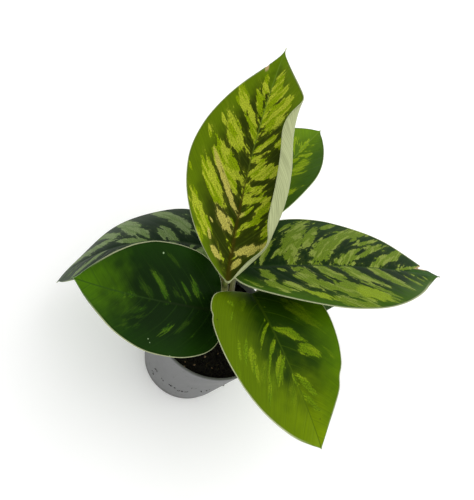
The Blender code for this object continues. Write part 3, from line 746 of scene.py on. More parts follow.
LOOKS = {
    "leaf_upright": Look(
        middle=(0.022, 0.034, 0.0005), margin=(0.09, 0.15, 0.0005), tip=(0.1, 0.18, 0.0005),
        patch=(0.18, 0.26, 0.0005), patch_pale=(0.32, 0.375, 0.02), cream=(0.4, 0.37, 0.07),
        rib_base=(0.042, 0.034, 0.001), rib_tip=(0.11, 0.18, 0.015), under=(0.38, 0.42, 0.2), rib_width=0.2,
        amount=0.36, seed=3.1, band=(0.45, 0.9), tip_from=0.75, veins=(0.75, 0.03, 0.12),
        gloss=0.03, pale_from=0.44, mottle=0.45, nicks=((0.82, 1, 0.02, 0.006),),
        blots=(
            (8.4, 0.86, 9.93, 1.4, 0.42), (8.75, 1.24, 9.18, 1.44, 0.23),
            (7.07, 0.05, 8.82, 0.78, 0.33), (8.27, 0.16, 9.95, 0.54, 0.21),
            (9.47, 0.27, 10.85, 0.41, 0.13), (6.27, 0.5, 8.13, 1.5, 0.6),
            (6.79, 0.89, 6.85, 1.42, 0.29), (5.02, 0.16, 6.45, 1.78, 0.5),
            (5.55, 1.33, 5.91, 1.83, 0.36), (3.77, 0.94, 5.02, 2.1, 0.56),
            (2.13, 1.38, 3.55, 2.37, 0.4), (1.53, 1.52, 2.1, 1.85, 0.2),
            (7.48, 1.68, 7.98, 1.84, 0.18), (6.71, 2.07, 7.01, 2.32, 0.18),
            (4.62, 2.59, 5.07, 2.76, 0.09), (8.9, -0.37, 10.68, -0.29, 0.29),
            (9.51, -0.67, 10.1, -0.8, 0.22), (7.77, -0.25, 9.21, -1.23, 0.72),
            (7.76, -0.13, 9.2, -0.07, 0.13), (6.56, -0.18, 7.36, -0.96, 0.25),
            (7.01, -1.01, 7.17, -1.9, 0.19), (6.13, -0.02, 6.42, -1.34, 0.21),
            (5.41, -0.2, 5.65, -1.7, 0.29), (4.45, -0.09, 5.54, -1.35, 0.34),
            (4.09, -0.09, 4.45, -0.62, 0.12), (3.96, -0.06, 4.16, -1.18, 0.13),
            (3.24, -0.71, 4.0, -1.36, 0.4), (3.05, -0.06, 3.61, -0.55, 0.12),
            (2.73, -0.28, 3.09, -1.09, 0.15), (2.27, -1.22, 2.97, -1.6, 0.35),
            (1.83, -1.31, 2.14, -1.76, 0.25), (4.3, 0.35, 5.5, 1.3, 0.42),
        ),
        creams=(
            (3.35, 0.17, 5.32, 1.41, 0.21), (2.51, 0.3, 2.93, 1.03, 0.31),
            (1.78, 1.12, 1.92, 1.29, 0.17), (0.99, 0.63, 1.4, 1.05, 0.2),
            (2.52, 1.15, 2.64, 1.32, 0.06), (1.47, -0.25, 1.75, -1.2, 0.19),
            (0.73, -0.07, 0.99, -0.43, 0.19),
        ),
        islands=(
            (6.41, -0.66, 6.27, -1.7, 0.27), (5.35, 0.35, 6.42, 0.34, 0.2), (4.8, -0.21, 5.04, -1.23, 0.13),
        ),
    ),
    "leaf_right": Look(
        middle=(0.004, 0.018, 0.001), margin=(0.009, 0.034, 0.001), tip=(0.028, 0.095, 0.0005),
        margin_right=(0.035, 0.09, 0.001), patch=(0.115, 0.18, 0.01), patch_pale=(0.2, 0.26, 0.04),
        cream=(0.19, 0.27, 0.012), rib_base=(0.015, 0.035, 0.008), rib_tip=(0.02, 0.05, 0.012),
        under=(0.25, 0.34, 0.15), amount=0.38, seed=11.7, patch_reach=1.05, patch_end=0.93,
        tip_from=0.76, veins=(0.35, 0.06, 0.12), edge=0.9, gloss=0.04,
        band=(0.5, 1.0), rim_highlight_width=0.5, nicks=((0.837, 1, 0.3, 0.0115),),
        blots=(
            (1.27, 0.26, 2.25, 1.65, 0.17), (1.87, 0.48, 2.59, 1.21, 0.11),
            (2.89, 0.2, 4.65, 3.23, 0.49), (4.0, 1.24, 5.24, 2.77, 0.28),
            (5.62, 2.75, 6.64, 3.24, 0.27), (2.98, 2.42, 3.81, 3.01, 0.15),
            (4.24, 0.21, 7.01, 2.65, 0.59), (5.9, 2.26, 8.65, 2.65, 0.44),
            (5.26, 0.23, 8.73, 1.58, 0.44), (7.35, 1.6, 8.88, 2.12, 0.21),
            (7.35, -0.05, 10.17, 1.32, 0.35), (8.73, 0.77, 10.33, 1.51, 0.29),
            (9.01, -0.01, 11.43, 0.57, 0.12), (1.18, -0.35, 1.32, -1.13, 0.24),
            (2.02, -0.23, 2.13, -0.49, 0.15), (2.69, -0.45, 3.1, -0.15, 0.13),
            (3.26, -0.27, 3.11, -1.53, 0.31), (4.08, 0.07, 5.04, -1.2, 0.49),
            (5.86, -0.03, 6.01, -1.09, 0.4), (3.14, -1.3, 4.31, -1.66, 0.44),
            (1.97, -1.27, 2.54, -1.95, 0.35), (1.09, -1.19, 1.69, -1.91, 0.27),
            (5.32, -1.41, 6.35, -2.5, 0.95), (4.46, -1.57, 4.87, -2.32, 0.23),
            (4.09, -2.59, 6.05, -3.05, 0.47), (7.35, -0.05, 8.78, -1.43, 0.53),
            (4.17, 0.07, 4.41, -0.56, 0.44),
        ),
        creams=((3.03, -2.03, 3.48, -2.46, 0.38), (5.7, -1.9, 6.7, -2.4, 0.6)),
        islands=(
            (6.89, 0.89, 7.73, 1.32, 0.19), (5.98, 1.1, 7.45, 1.94, 0.19),
            (5.21, 1.9, 6.4, 2.51, 0.17), (8.61, 1.91, 9.5, 2.11, 0.17),
        ),
    ),
    "leaf_front": Look(
        middle=(0.011, 0.032, 0.0005), margin=(0.065, 0.14, 0.0005), tip=(0.15, 0.235, 0.0005),
        margin_right=(0.09, 0.15, 0.0005), patch=(0.1, 0.175, 0.002), patch_pale=(0.15, 0.225, 0.004),
        rib_base=(0.03, 0.06, 0.002), rib_tip=(0.06, 0.11, 0.002), under=(0.3, 0.4, 0.14),
        amount=0.2, seed=23.4, band=(0.3, 1.05), band_right=(0.08, 0.8), tip_from=0.52,
        vein_tint_and_highlight=0.35, vein_line=0.045, feather=0.05, patch_reach=0.8,
        veins=(0.5, 0.08, 0.15), edge=1.0, gloss=0.03, strip=0.06, slide=0.08, faintness=0.35,
        rim_highlight_width=0.42, mottle=0.5, nicks=((0.62, 1, 0.035, 0.03), (0.303, -1, 0.025, 0.014)),
        specks=((1.29, -2.59, 0.03), (6.75, 0.4, 0.03), (6.89, 1.02, 0.035)), speck=(0.03, 0.02, 0.005),
        blots=(
            (2.26, 0.18, 3.07, 1.13, 0.27), (3.51, 0.81, 3.83, 1.55, 0.25),
            (4.5, 0.22, 5.52, 0.55, 0.21), (4.33, -0.08, 4.84, 0.0, 0.08),
            (5.35, 0.1, 6.32, 0.46, 0.2), (3.66, -0.22, 4.23, -0.99, 0.34),
            (1.86, -0.12, 2.71, -1.02, 0.1), (2.68, -0.17, 3.27, -0.82, 0.14),
            (3.28, -0.76, 4.0, -1.33, 0.07), (4.0, -1.27, 4.78, -1.71, 0.12),
            (4.69, -1.66, 4.46, -1.66, 0.22), (2.94, -1.57, 3.48, -1.94, 0.4),
            (3.45, -1.67, 3.87, -1.94, 0.16), (2.38, -2.05, 2.93, -2.32, 0.14),
            (2.52, -1.69, 3.08, -2.15, 0.15), (0.57, -1.63, 0.72, -1.44, 0.07),
            (1.11, -1.67, 1.35, -1.9, 0.07), (1.54, -0.11, 1.74, -0.21, 0.05),
        ),
        faints=(
            (1.24, 1.11, 2.58, 2.22, 0.53), (3.61, -1.11, 3.96, -1.79, 0.24),
            (4.12, -0.94, 4.41, -1.52, 0.21), (4.67, -0.42, 5.46, -0.49, 0.28),
            (3.38, -2.72, 3.99, -2.79, 0.25), (3.93, 2.05, 4.35, 2.07, 0.16),
            (0.47, -0.65, 1.02, -1.16, 0.2),
        ),
    ),
    "leaf_left": Look(
        middle=(0.004, 0.016, 0.001), margin=(0.008, 0.033, 0.001), tip=(0.055, 0.14, 0.0005),
        patch=(0.025, 0.075, 0.002), patch_pale=(0.05, 0.11, 0.004), rib_base=(0.008, 0.018, 0.003),
        rib_tip=(0.02, 0.055, 0.005), under=(0.2, 0.3, 0.12), amount=0.22, seed=31.9,
        blot=(0.3, 0.8), strip=0.04, slide=0.3, tear=1.8, vein_tint_and_highlight=0.4, vein_line=0.05,
        tip_from=0.6, band=(0.4, 1.15), feather=0.04, veins=(0.55, 0.08, 0.12), edge=1.0,
        gloss=0.04, faintness=0.3, rim_highlight_width=0.3, speck=(0.3, 0.42, 0.22),
        specks=((3.65, 1.82, 0.028), (3.57, 1.97, 0.022), (2.59, 2.42, 0.026), (3.27, -2.08, 0.045)),
        blots=(
            (2.62, -0.1, 3.51, -1.18, 0.17), (1.38, -0.29, 1.93, -0.94, 0.11),
            (1.16, -0.56, 1.44, -1.19, 0.15), (4.24, 0.02, 5.08, 0.15, 0.07),
            (5.27, 0.06, 5.67, 0.08, 0.05), (2.44, 1.09, 3.01, 1.48, 0.14),
        ),
        faints=(
            (2.09, -0.37, 2.49, -0.7, 0.22), (3.42, -0.09, 4.12, -0.61, 0.31),
            (1.63, -0.13, 1.88, -0.31, 0.09), (2.39, -1.71, 3.02, -2.16, 0.17),
            (3.75, 0.46, 4.87, 0.83, 0.2), (4.73, 0.43, 5.13, 0.48, 0.06),
            (3.54, 0.67, 4.85, 1.17, 0.08), (4.71, 1.36, 5.14, 1.47, 0.12),
            (4.16, 1.37, 4.59, 1.38, 0.09), (1.46, 0.66, 2.15, 1.31, 0.17),
            (2.91, -0.68, 3.64, -1.23, 0.33),
        ),
    ),
    "leaf_left_back": Look(
        middle=(0.006, 0.018, 0.005), margin=(0.01, 0.028, 0.007), tip=(0.018, 0.045, 0.01),
        patch=(0.11, 0.17, 0.05), patch_pale=(0.15, 0.21, 0.08), rib_base=(0.02, 0.035, 0.015),
        rib_tip=(0.02, 0.04, 0.016), under=(0.22, 0.32, 0.14), amount=0.34, seed=43.3,
        patch_reach=1.0, edge=0.25, gloss=0.06,
        blots=(
            (1.24, -0.67, 1.91, -1.95, 0.33), (1.67, 0.0, 2.31, -0.99, 0.24),
            (2.16, -0.11, 2.47, -0.82, 0.14), (2.16, -1.65, 2.99, -2.72, 0.36),
            (3.07, -0.37, 3.99, -1.46, 0.24), (3.84, -0.77, 4.87, -2.39, 0.42),
            (4.69, -0.9, 6.35, -1.77, 0.42), (2.91, 0.1, 4.46, -0.37, 0.23),
            (4.99, -0.72, 8.32, -0.49, 0.26), (1.9, 0.5, 2.8, 1.9, 0.35),
            (3.9, 0.4, 4.9, 1.7, 0.4), (5.6, 0.2, 6.8, 1.1, 0.3),
        ),
    ),
    "leaf_back": Look(
        middle=(0.07, 0.14, 0.001), margin=(0.13, 0.24, 0.001), tip=(0.1, 0.2, 0.001),
        margin_right=(0.04, 0.1, 0.002), patch=(0.2, 0.31, 0.002), patch_pale=(0.26, 0.36, 0.01),
        rib_base=(0.05, 0.06, 0.008), rib_tip=(0.15, 0.25, 0.02), under=(0.3, 0.42, 0.16),
        amount=0.36, seed=57.2, edge=0.3, gloss=0.07,
        blots=(
            (4.01, -0.71, 4.97, -0.61, 0.26), (5.39, -0.03, 6.24, 0.03, 0.14),
            (4.3, -0.08, 4.92, -0.15, 0.17), (2.2, 0.3, 3.4, 1.5, 0.35), (4.2, 0.5, 5.2, 1.5, 0.3),
            (1.8, -0.4, 2.8, -1.5, 0.35),
        ),
    ),
    "leaf_small": Look(
        middle=(0.012, 0.034, 0.004), margin=(0.022, 0.06, 0.005), tip=(0.035, 0.09, 0.006),
        patch=(0.06, 0.12, 0.01), patch_pale=(0.08, 0.14, 0.015), rib_base=(0.03, 0.05, 0.01),
        rib_tip=(0.04, 0.08, 0.012), under=(0.2, 0.3, 0.12), amount=0.4, seed=61.8, gloss=0.08,
    ),
}
print(len(LOOKS), "looks with", sum(len(look.blots) for look in LOOKS.values()), "blots")

# %% Leaf materials
# The pale line along the leaf margins is a painted highlight of the light on the thin edge.
PALE_EDGE_HIGHLIGHT = (0.5, 0.54, 0.3)
FAR_FROM_BLOTS = 9.0
BLOT_OVERRUN = 1.15
DRY_EDGE = (0.42, 0.31, 0.14)
LARGEST_DRY_NICK = 0.0115


def color(rgb):
    return (*rgb, 1)


def leaf_places(wires):
    """The two places that a blade's mesh carries."""
    flat = wires.add("UVMap", uv_map="Flat").outputs[0]
    tau, side, _ = wires.split(wires.add("UVMap", uv_map="Place").outputs[0])
    return flat, tau, side, wires.math("ABSOLUTE", side)


def vein_place(along, across, veins):
    """The same sum as in the vein group, for a place that is known."""
    slant, gain, bend = veins
    return along - (slant + gain * along) * abs(across) - bend * across * across


def nearest_blot(wires, place, blots, veins):
    """0 in the middle of the nearest long blot, 1 at its edge, more beyond."""
    nearest = FAR_FROM_BLOTS
    for start_along, start_across, end_along, end_across, half_width in blots:
        start = vein_place(start_along, start_across, veins)
        end = vein_place(end_along, end_across, veins)
        rise = end_across - start_across
        node = wires.add("Mapping", vector_type="TEXTURE")
        wires.feed(node.inputs["Vector"], place)
        node.inputs["Location"].default_value = ((start + end) / 2, (start_across + end_across) / 2, 0)
        node.inputs["Rotation"].default_value = (0, 0, math.atan2(rise, end - start))
        node.inputs["Scale"].default_value = (BLOT_OVERRUN * math.hypot(rise, end - start) / 2, half_width, 1)
        distance = wires.add("VectorMath", operation="LENGTH")
        wires.feed(distance.inputs[0], node.outputs[0])
        nearest = wires.math("MINIMUM", nearest, distance.outputs["Value"])
    return nearest


def pale_margin_highlight(wires, shade, tau, look):
    """A painted highlight along the margin: a thin pale line that fades at the tip."""
    edge = wires.add("Attribute", attribute_name="Edge").outputs["Fac"]
    # look.edge sets how strong this painted highlight is
    line = wires.ramp(edge, look.rim_highlight_width / 4, look.rim_highlight_width, look.edge, 0.0)
    line = wires.math("MULTIPLY", line, wires.ramp(tau, 0.68, 0.86, 1.0, 0.0))
    return wires.mix(line, shade, color(PALE_EDGE_HIGHLIGHT))


def dry_nicks(wires, shade, tau, side, look):
    """The dry brown edge that a healed bite leaves."""
    edge = wires.add("Attribute", attribute_name="Edge").outputs["Fac"]
    for where, flank, _, width in look.nicks:
        if width > LARGEST_DRY_NICK:
            continue
        away = wires.math("ABSOLUTE", wires.math("SUBTRACT", tau, where))
        close = wires.ramp(away, 1.2 * width, 2.2 * width, 1.0, 0.0)
        mark = wires.math("MULTIPLY", close, wires.ramp(edge, 0.3, 0.9, 1.0, 0.0))
        mark = wires.math("MULTIPLY", mark, wires.ramp(wires.math("MULTIPLY", side, flank), 0.0, 0.1))
        shade = wires.mix(mark, shade, color(DRY_EDGE))
    return shade


def leaf_directions(wires, flat, look):
    slant, gain, bend = look.veins
    veins = wires.group(VEIN_DIRECTIONS, Flat=flat, Slant=slant, Gain=gain, Bend=bend)
    return {label: veins[label] for label in ("Vein", "Out", "Side")}


def gray_scale(wires, value):
    return wires.join(value, value, value)


def make_upper_material(name, look):
    material, wires, shader = new_material(name + "_upper")
    flat, tau, side, reach = leaf_places(wires)
    _, y, _ = wires.split(flat)
    direction = leaf_directions(wires, flat, look)
    lines = wires.group(SIDE_VEINS, **direction, Line_Width=look.vein_line)
    strips = wires.group(LEAF_STRIPS, **direction, Seed=look.seed, Strip_Width=look.strip, Slide=look.slide)
    place = wires.join(direction["Vein"], wires.math("MULTIPLY", strips["Slid"], direction["Side"]), 0.0)
    cream = nearest_blot(wires, place, look.creams, look.veins)
    blot = wires.math("MINIMUM", cream, nearest_blot(wires, place, look.blots, look.veins))
    allowed = wires.ramp(reach, look.patch_reach - 0.25, look.patch_reach, 0.0, -0.3)
    ends = wires.ramp(tau, look.patch_end - 0.12, look.patch_end, 0.0, -0.3)
    amount = wires.math("ADD", wires.math("ADD", allowed, ends), look.amount)
    patches = wires.group(
        LEAF_PATCHES, Vein=direction["Vein"], Out=direction["Out"], Slid=strips["Slid"],
        Chance=strips["Chance"], Shift=strips["Shift"], Blot=blot,
        Faint=nearest_blot(wires, place, look.faints, look.veins),
        Island=nearest_blot(wires, place, look.islands, look.veins), Amount=amount, Tear=look.tear,
        Blot_Width=look.blot[0], Blot_Length=look.blot[1],
    )
    cloud = wires.noise(flat, 1.1, 2.0)
    drift = wires.math("MULTIPLY", wires.math("SUBTRACT", strips["Slid"], direction["Out"]), look.feather)
    drift = wires.math("ADD", drift, wires.math("MULTIPLY", wires.math("SUBTRACT", cloud, 0.5), 0.3))
    outer = color(look.margin)
    leftness = wires.ramp(y, -0.6, 0.6)
    if look.margin_right:
        outer = wires.mix(leftness, color(look.margin_right), outer)
    spread = wires.ramp(wires.math("ADD", reach, drift), *look.band)
    if look.band_right:
        right = wires.ramp(wires.math("ADD", reach, drift), *look.band_right)
        excess = wires.math("SUBTRACT", spread, right)
        spread = wires.math("ADD", right, wires.math("MULTIPLY", excess, leftness))
    ground = wires.mix(spread, color(look.middle), outer)
    tipness = wires.ramp(wires.math("ADD", tau, drift), look.tip_from, 0.98)
    ground = wires.mix(tipness, ground, color(look.tip))
    pale = wires.ramp(patches["Tone"], look.pale_from, look.pale_from + 0.08)
    paint = wires.mix(pale, color(look.patch), color(look.patch_pale))
    if look.cream:
        paint = wires.mix(wires.ramp(cream, 1.2, 1.6, 1.0, 0.0), paint, color(look.cream))
    mottle = wires.ramp(wires.noise(flat, 18.0, 3.0, 0.75), 0.35, 0.65, 1 - look.mottle, 1 + look.mottle)
    paint = wires.mix(1.0, paint, gray_scale(wires, mottle), "MULTIPLY")
    shade = wires.mix(wires.math("MULTIPLY", patches["Near"], 0.1), ground, paint)
    shade = wires.mix(wires.math("MULTIPLY", patches["Faint"], look.faintness), shade, paint)
    shade = wires.mix(patches["Mask"], shade, paint)
    comb = wires.ramp(lines["Comb"], 0.3, 0.7, 0.88, 1.1)
    shade = wires.mix(1.0, shade, gray_scale(wires, comb), "MULTIPLY")
    # Light vein lines: partly the veins' own colour, partly a painted highlight on the ridges.
    shade = wires.mix(wires.math("MULTIPLY", lines["Line"], look.vein_tint_and_highlight), shade, color(look.rib_tip))
    rib = wires.ramp(wires.math("ABSOLUTE", y), wires.ramp(tau, 0.0, 1.0, 0.03, 0.005),
                     wires.ramp(tau, 0.0, 0.7, look.rib_width, 0.04), 1.0, 0.0)
    rib_color = wires.mix(wires.ramp(tau, 0.4, 0.8), color(look.rib_base), color(look.rib_tip))
    shade = wires.mix(wires.math("MULTIPLY", rib, 0.8), shade, rib_color)
    for along, across, radius in look.specks:
        dot = wires.add("VectorMath", operation="DISTANCE")
        wires.feed(dot.inputs[0], flat)
        dot.inputs[1].default_value = (along, across, 0)
        speck = wires.ramp(dot.outputs["Value"], 0.7 * radius, 1.2 * radius, 0.9, 0.0)
        shade = wires.mix(speck, shade, color(look.speck))
    shade = dry_nicks(wires, pale_margin_highlight(wires, shade, tau, look), tau, side, look)
    wires.feed(shader.inputs["Base Color"], shade)
    wires.feed(shader.inputs["Roughness"], wires.ramp(lines["Comb"], 0.2, 0.8, 0.38, 0.52))
    ridges = wires.math("MULTIPLY", lines["Comb"], 0.35)
    relief = wires.math("ADD", ridges, wires.math("MULTIPLY", lines["Line"], -0.7))
    wires.feed(shader.inputs["Normal"], wires.bump(relief, 0.12 * MM, 0.6))
    shader.inputs["Specular IOR Level"].default_value = look.gloss
    return material


def make_under_material(name, look):
    material, wires, shader = new_material(name + "_under")
    flat, tau, side, _ = leaf_places(wires)
    _, y, _ = wires.split(flat)
    lines = wires.group(SIDE_VEINS, **leaf_directions(wires, flat, look))
    pale = tuple(min(1, 1.15 * c + 0.03) for c in look.under)
    deep = tuple(0.72 * c for c in look.under)
    shade = wires.mix(wires.ramp(lines["Comb"], 0.3, 0.7), color(deep), color(pale))
    shade = wires.mix(wires.math("MULTIPLY", lines["Line"], 0.5), shade, color(pale))
    rib = wires.ramp(wires.math("ABSOLUTE", y), 0.04, 0.14, 0.8, 0.0)
    shade = wires.mix(rib, shade, color(pale))
    shade = dry_nicks(wires, pale_margin_highlight(wires, shade, tau, look), tau, side, look)
    wires.feed(shader.inputs["Base Color"], shade)
    shader.inputs["Roughness"].default_value = 0.55
    shader.inputs["Specular IOR Level"].default_value = 0.15
    relief = wires.math("ADD", wires.math("MULTIPLY", lines["Comb"], 0.4), lines["Line"])
    wires.feed(shader.inputs["Normal"], wires.bump(relief, 0.15 * MM, 0.7))
    return material


LEAF_MATERIALS = {
    name: (make_upper_material(name, look), make_under_material(name, look))
    for name, look in LOOKS.items()
}
print(len(LEAF_MATERIALS), "pairs of leaf materials")

# %% [markdown]
# A blade is about a third of a millimetre thick. Its upper side sinks along
# the midrib and the strong side veins, and the midrib stands out underneath.
# We lay a fine grid on the leaf's law, push it in and out by those amounts,
# and close it with a rounded margin.

# %% Blades
ROWS = 140
HALF_COLUMNS = 26
THICKNESS = 0.4 * MM
RIM_OUT = 0.12 * MM
RIB_HEIGHT = 0.9 * MM
GROOVE = 0.3 * MM
QUILT = 0.14 * MM
VEIN_SPACING = 9 * MM
UNEVEN = 0.018
UNEVEN_BENDS = 11


def uneven_sides(leaf, taus, sides):
    """The side of every grid point, with an uneven and nicked margin."""
    look = LOOKS[leaf.name]
    grid = np.broadcast_to(sides[None, :], (len(taus), len(sides))).copy()
    for flank in (1, -1):
        cut = [UNEVEN * (0.5 + 0.5 * noise.noise((UNEVEN_BENDS * t, 5 * flank, look.seed))) for t in taus]
        for where, nick_flank, depth, width in look.nicks:
            if nick_flank == flank:
                cut = cut + depth * np.exp(-((taus - where) / width) ** 2)
        column = grid[:, sides * flank > 0]
        grid[:, sides * flank > 0] = column * (1 - np.asarray(cut)[:, None] * np.abs(column) ** 4)
    return grid


def vertex_normals(points, faces):
    faces = np.asarray(faces)
    edges_a = points[faces[:, 1]] - points[faces[:, 0]]
    edges_b = points[faces[:, 2]] - points[faces[:, 0]]
    normals = np.zeros_like(points)
    for corner in range(3):
        np.add.at(normals, faces[:, corner], np.cross(edges_a, edges_b))
    return normals / np.linalg.norm(normals, axis=1)[:, None]


def grid_faces(rows, count):
    """Triangle fans at both ends and quads between, facing the glossy side."""
    fan = [(0, k + 2, k + 1) for k in range(count - 1)]
    quads = []
    for row in range(rows - 2):
        low = 1 + row * count
        quads += [(low + k, low + k + 1, low + count + k + 1, low + count + k) for k in range(count - 1)]
    last = 1 + (rows - 2) * count
    tip = last + count
    return fan + quads + [(last + k, last + k + 1, tip) for k in range(count - 1)]


def relief(leaf, along, across, tau, side):
    """How far the upper side sinks, in metres."""
    slant, gain, bend = LOOKS[leaf.name].veins
    out = np.abs(across)
    vein = along - (slant + gain * along / CM) * out - bend * out ** 2 / CM
    phase = vein / VEIN_SPACING + 0.22 * np.sign(side)
    nearest = np.abs(phase - np.floor(phase) - 0.5) * VEIN_SPACING
    quilt = QUILT * np.exp(-(nearest / (1.3 * MM)) ** 2) * (1 - np.abs(side) ** 3)
    groove = GROOVE * np.exp(-(across / (1.1 * MM)) ** 2) * (1 - tau ** 2) * smooth_step(tau / 0.15)
    return -(quilt * smooth_step(out / (3 * MM)) + groove)


def make_blade(leaf):
    half = np.linspace(0, 1, HALF_COLUMNS + 1) ** 1.1
    sides = np.concatenate([half[::-1], -half[1:]])
    taus = (np.linspace(0, 1, ROWS + 1)) ** 0.95
    side_grid = uneven_sides(leaf, taus[1:-1], sides)
    grid = blade_surface(leaf, taus[1:-1, None], side_grid)
    along, across = outline(leaf, taus[1:-1, None], side_grid)
    tau_grid = np.broadcast_to(taus[1:-1, None], across.shape)
    tip = midrib(leaf)[0][-1]
    top = np.concatenate([[leaf.base], grid.reshape(-1, 3), [tip]])
    faces = grid_faces(ROWS, len(sides))
    triangles = [face[:3] for face in faces] + [(f[0], f[2], f[3]) for f in faces if len(f) == 4]
    normals = vertex_normals(top, triangles)
    sink = relief(leaf, along, across, tau_grid, side_grid)
    sink = np.concatenate([[0], sink.ravel(), [0]])
    rib = RIB_HEIGHT * np.exp(-(across / (1.2 * MM)) ** 2) * (1 - tau_grid) ** 0.8
    rib = np.concatenate([[RIB_HEIGHT], rib.ravel(), [0]]) + sink
    upper = top + normals * sink[:, None]
    lower = top - normals * (THICKNESS + rib)[:, None]
    flat = np.concatenate([[(0, 0)], np.stack([along, across], -1).reshape(-1, 2), [(leaf.length, 0)]]) * 100
    way = np.concatenate([[(0, 0)], np.stack([tau_grid, side_grid], -1).reshape(-1, 2), [(1, 0)]])
    first_reach = np.abs(across[:, :1]) * (side_grid > 0)
    last_reach = np.abs(across[:, -1:]) * (side_grid <= 0)
    edge = (first_reach + last_reach) - np.abs(across)
    edge = np.concatenate([[0], edge.ravel() / MM, [0]])
    return close_blade(leaf, upper, lower, normals, faces, flat, way, edge, len(sides))


def close_blade(leaf, upper, lower, normals, faces, flat, way, edge, count):
    """Join both sides with a rounded margin, in one closed mesh."""
    shift = len(upper)
    left = [0] + [1 + row * count for row in range(ROWS - 1)] + [shift - 1]
    right = [0] + [(row + 1) * count for row in range(ROWS - 1)] + [shift - 1]
    loop = left + right[-2:0:-1]
    centre = (upper + lower) / 2
    rim_points = []
    for k, vertex in enumerate(loop):
        before, after = centre[loop[k - 1]], centre[loop[(k + 1) % len(loop)]]
        outward = unit(np.cross(after - before, normals[vertex]))
        rim_points.append(centre[vertex] - outward * RIM_OUT)
    points = np.concatenate([upper, lower, rim_points])
    rim = 2 * shift
    strips = []
    for k, vertex in enumerate(loop):
        after = (k + 1) % len(loop)
        strips.append((vertex, rim + k, rim + after, loop[after]))
        strips.append((rim + k, vertex + shift, loop[after] + shift, rim + after))
    under = [tuple(shift + k for k in reversed(face)) for face in faces]
    slots = [0] * len(faces) + [1] * len(under) + [1] * len(strips)
    maps = {"Flat": np.concatenate([flat, flat, flat[loop]]), "Place": np.concatenate([way, way, way[loop]])}
    piece = make_piece(
        leaf.name + "_blade", points, faces + under + strips, maps, slots, LEAF_MATERIALS[leaf.name]
    )
    store = piece.data.attributes.new("Edge", "FLOAT", "POINT")
    store.data.foreach_set("value", np.concatenate([edge, edge, np.zeros(len(loop))]).astype(np.float32))
    return piece


for leaf in LEAVES:
    blade = dress(make_blade(leaf), leaf.name)
    print(blade.name, len(blade.data.polygons), "faces")

# %% [markdown]
# Every blade stands on a fleshy stalk that comes out of the crown, bends
# once or twice to find light, and runs on under the leaf as its midrib. A
# chain of straight lines with its corners cut again and again gives such a
# bend, and the fine rod follows the same chain as the plain one.
# The lower part of a stalk is wrapped by a thin pale sheath, open on one
# side, that once held the next leaf. It is a shell of its own.

# %% Stalks and sheaths
CROWN_TOP = 52 * MM
SOCKET_DEPTH = 8 * MM
SOCKET_RING = 5.1 * MM
SOCKET_AIR = 0.3 * MM
STALK_RADIUS = 1.6 * MM
STALK_TOP_RADIUS = 1.15 * MM
MIDDLE_STALK_RADIUS = 2.0 * MM
STALK_BEND = 4 * MM
STALK_SIDES = 20
CORNER_CUTS = 4
RIB_REACH = 0.14
RIB_END_RADIUS = 0.7 * MM
RIB_BURY = 0.5 * MM
SHEATH_SHARE = 0.46
SHEATH_THICKNESS = 0.25 * MM


def socket_place(leaf):
    if leaf.socket is None:
        return np.zeros(3)
    angle = math.radians(leaf.socket)
    return SOCKET_RING * np.array([math.cos(angle), math.sin(angle), 0])


def stalk_radius(leaf):
    return MIDDLE_STALK_RADIUS if leaf.socket is None else STALK_RADIUS


def rounded(corners, rounds):
    """A smooth path inside a chain of straight lines, by cutting corners."""
    path = np.array(corners)
    for _ in range(rounds):
        early = path[:-1] * 0.75 + path[1:] * 0.25
        late = path[:-1] * 0.25 + path[1:] * 0.75
        middle = np.stack([early, late], 1).reshape(-1, 3)
        path = np.concatenate([path[:1], middle[1:-1], path[-1:]])
    return path


def stalk_path(leaf):
    """From the bottom of the socket up to the blade, then under its midrib."""
    foot = socket_place(leaf) + np.array([0, 0, CROWN_TOP - SOCKET_DEPTH + SOCKET_AIR])
    mouth = foot + np.array([0, 0, SOCKET_DEPTH])
    clear = mouth + np.array([0, 0, STALK_BEND])
    points, _, _, up = midrib(leaf)
    knee = points[0] - up[0] * (STALK_TOP_RADIUS + RIB_BURY)
    below = knee + unit(np.array(leaf.stalk[-1]) - knee) * STALK_BEND
    end = round(RIB_REACH * MIDRIB_STEPS)
    under = [points[k] - up[k] * (RIB_END_RADIUS + RIB_BURY) for k in (end // 2, end)]
    return rounded([foot, mouth, clear, *leaf.stalk, below, knee, *under], CORNER_CUTS)


def path_lengths(path):
    steps = np.linalg.norm(np.diff(path, axis=0), axis=1)
    return np.concatenate([[0], np.cumsum(steps)])


def stalk_radii(leaf, way):
    meeting = way[-1] - RIB_REACH * leaf.length
    stations = [0, SOCKET_DEPTH, meeting, way[-1]]
    widths = [stalk_radius(leaf), stalk_radius(leaf), STALK_TOP_RADIUS, RIB_END_RADIUS]
    return np.interp(way, stations, widths)


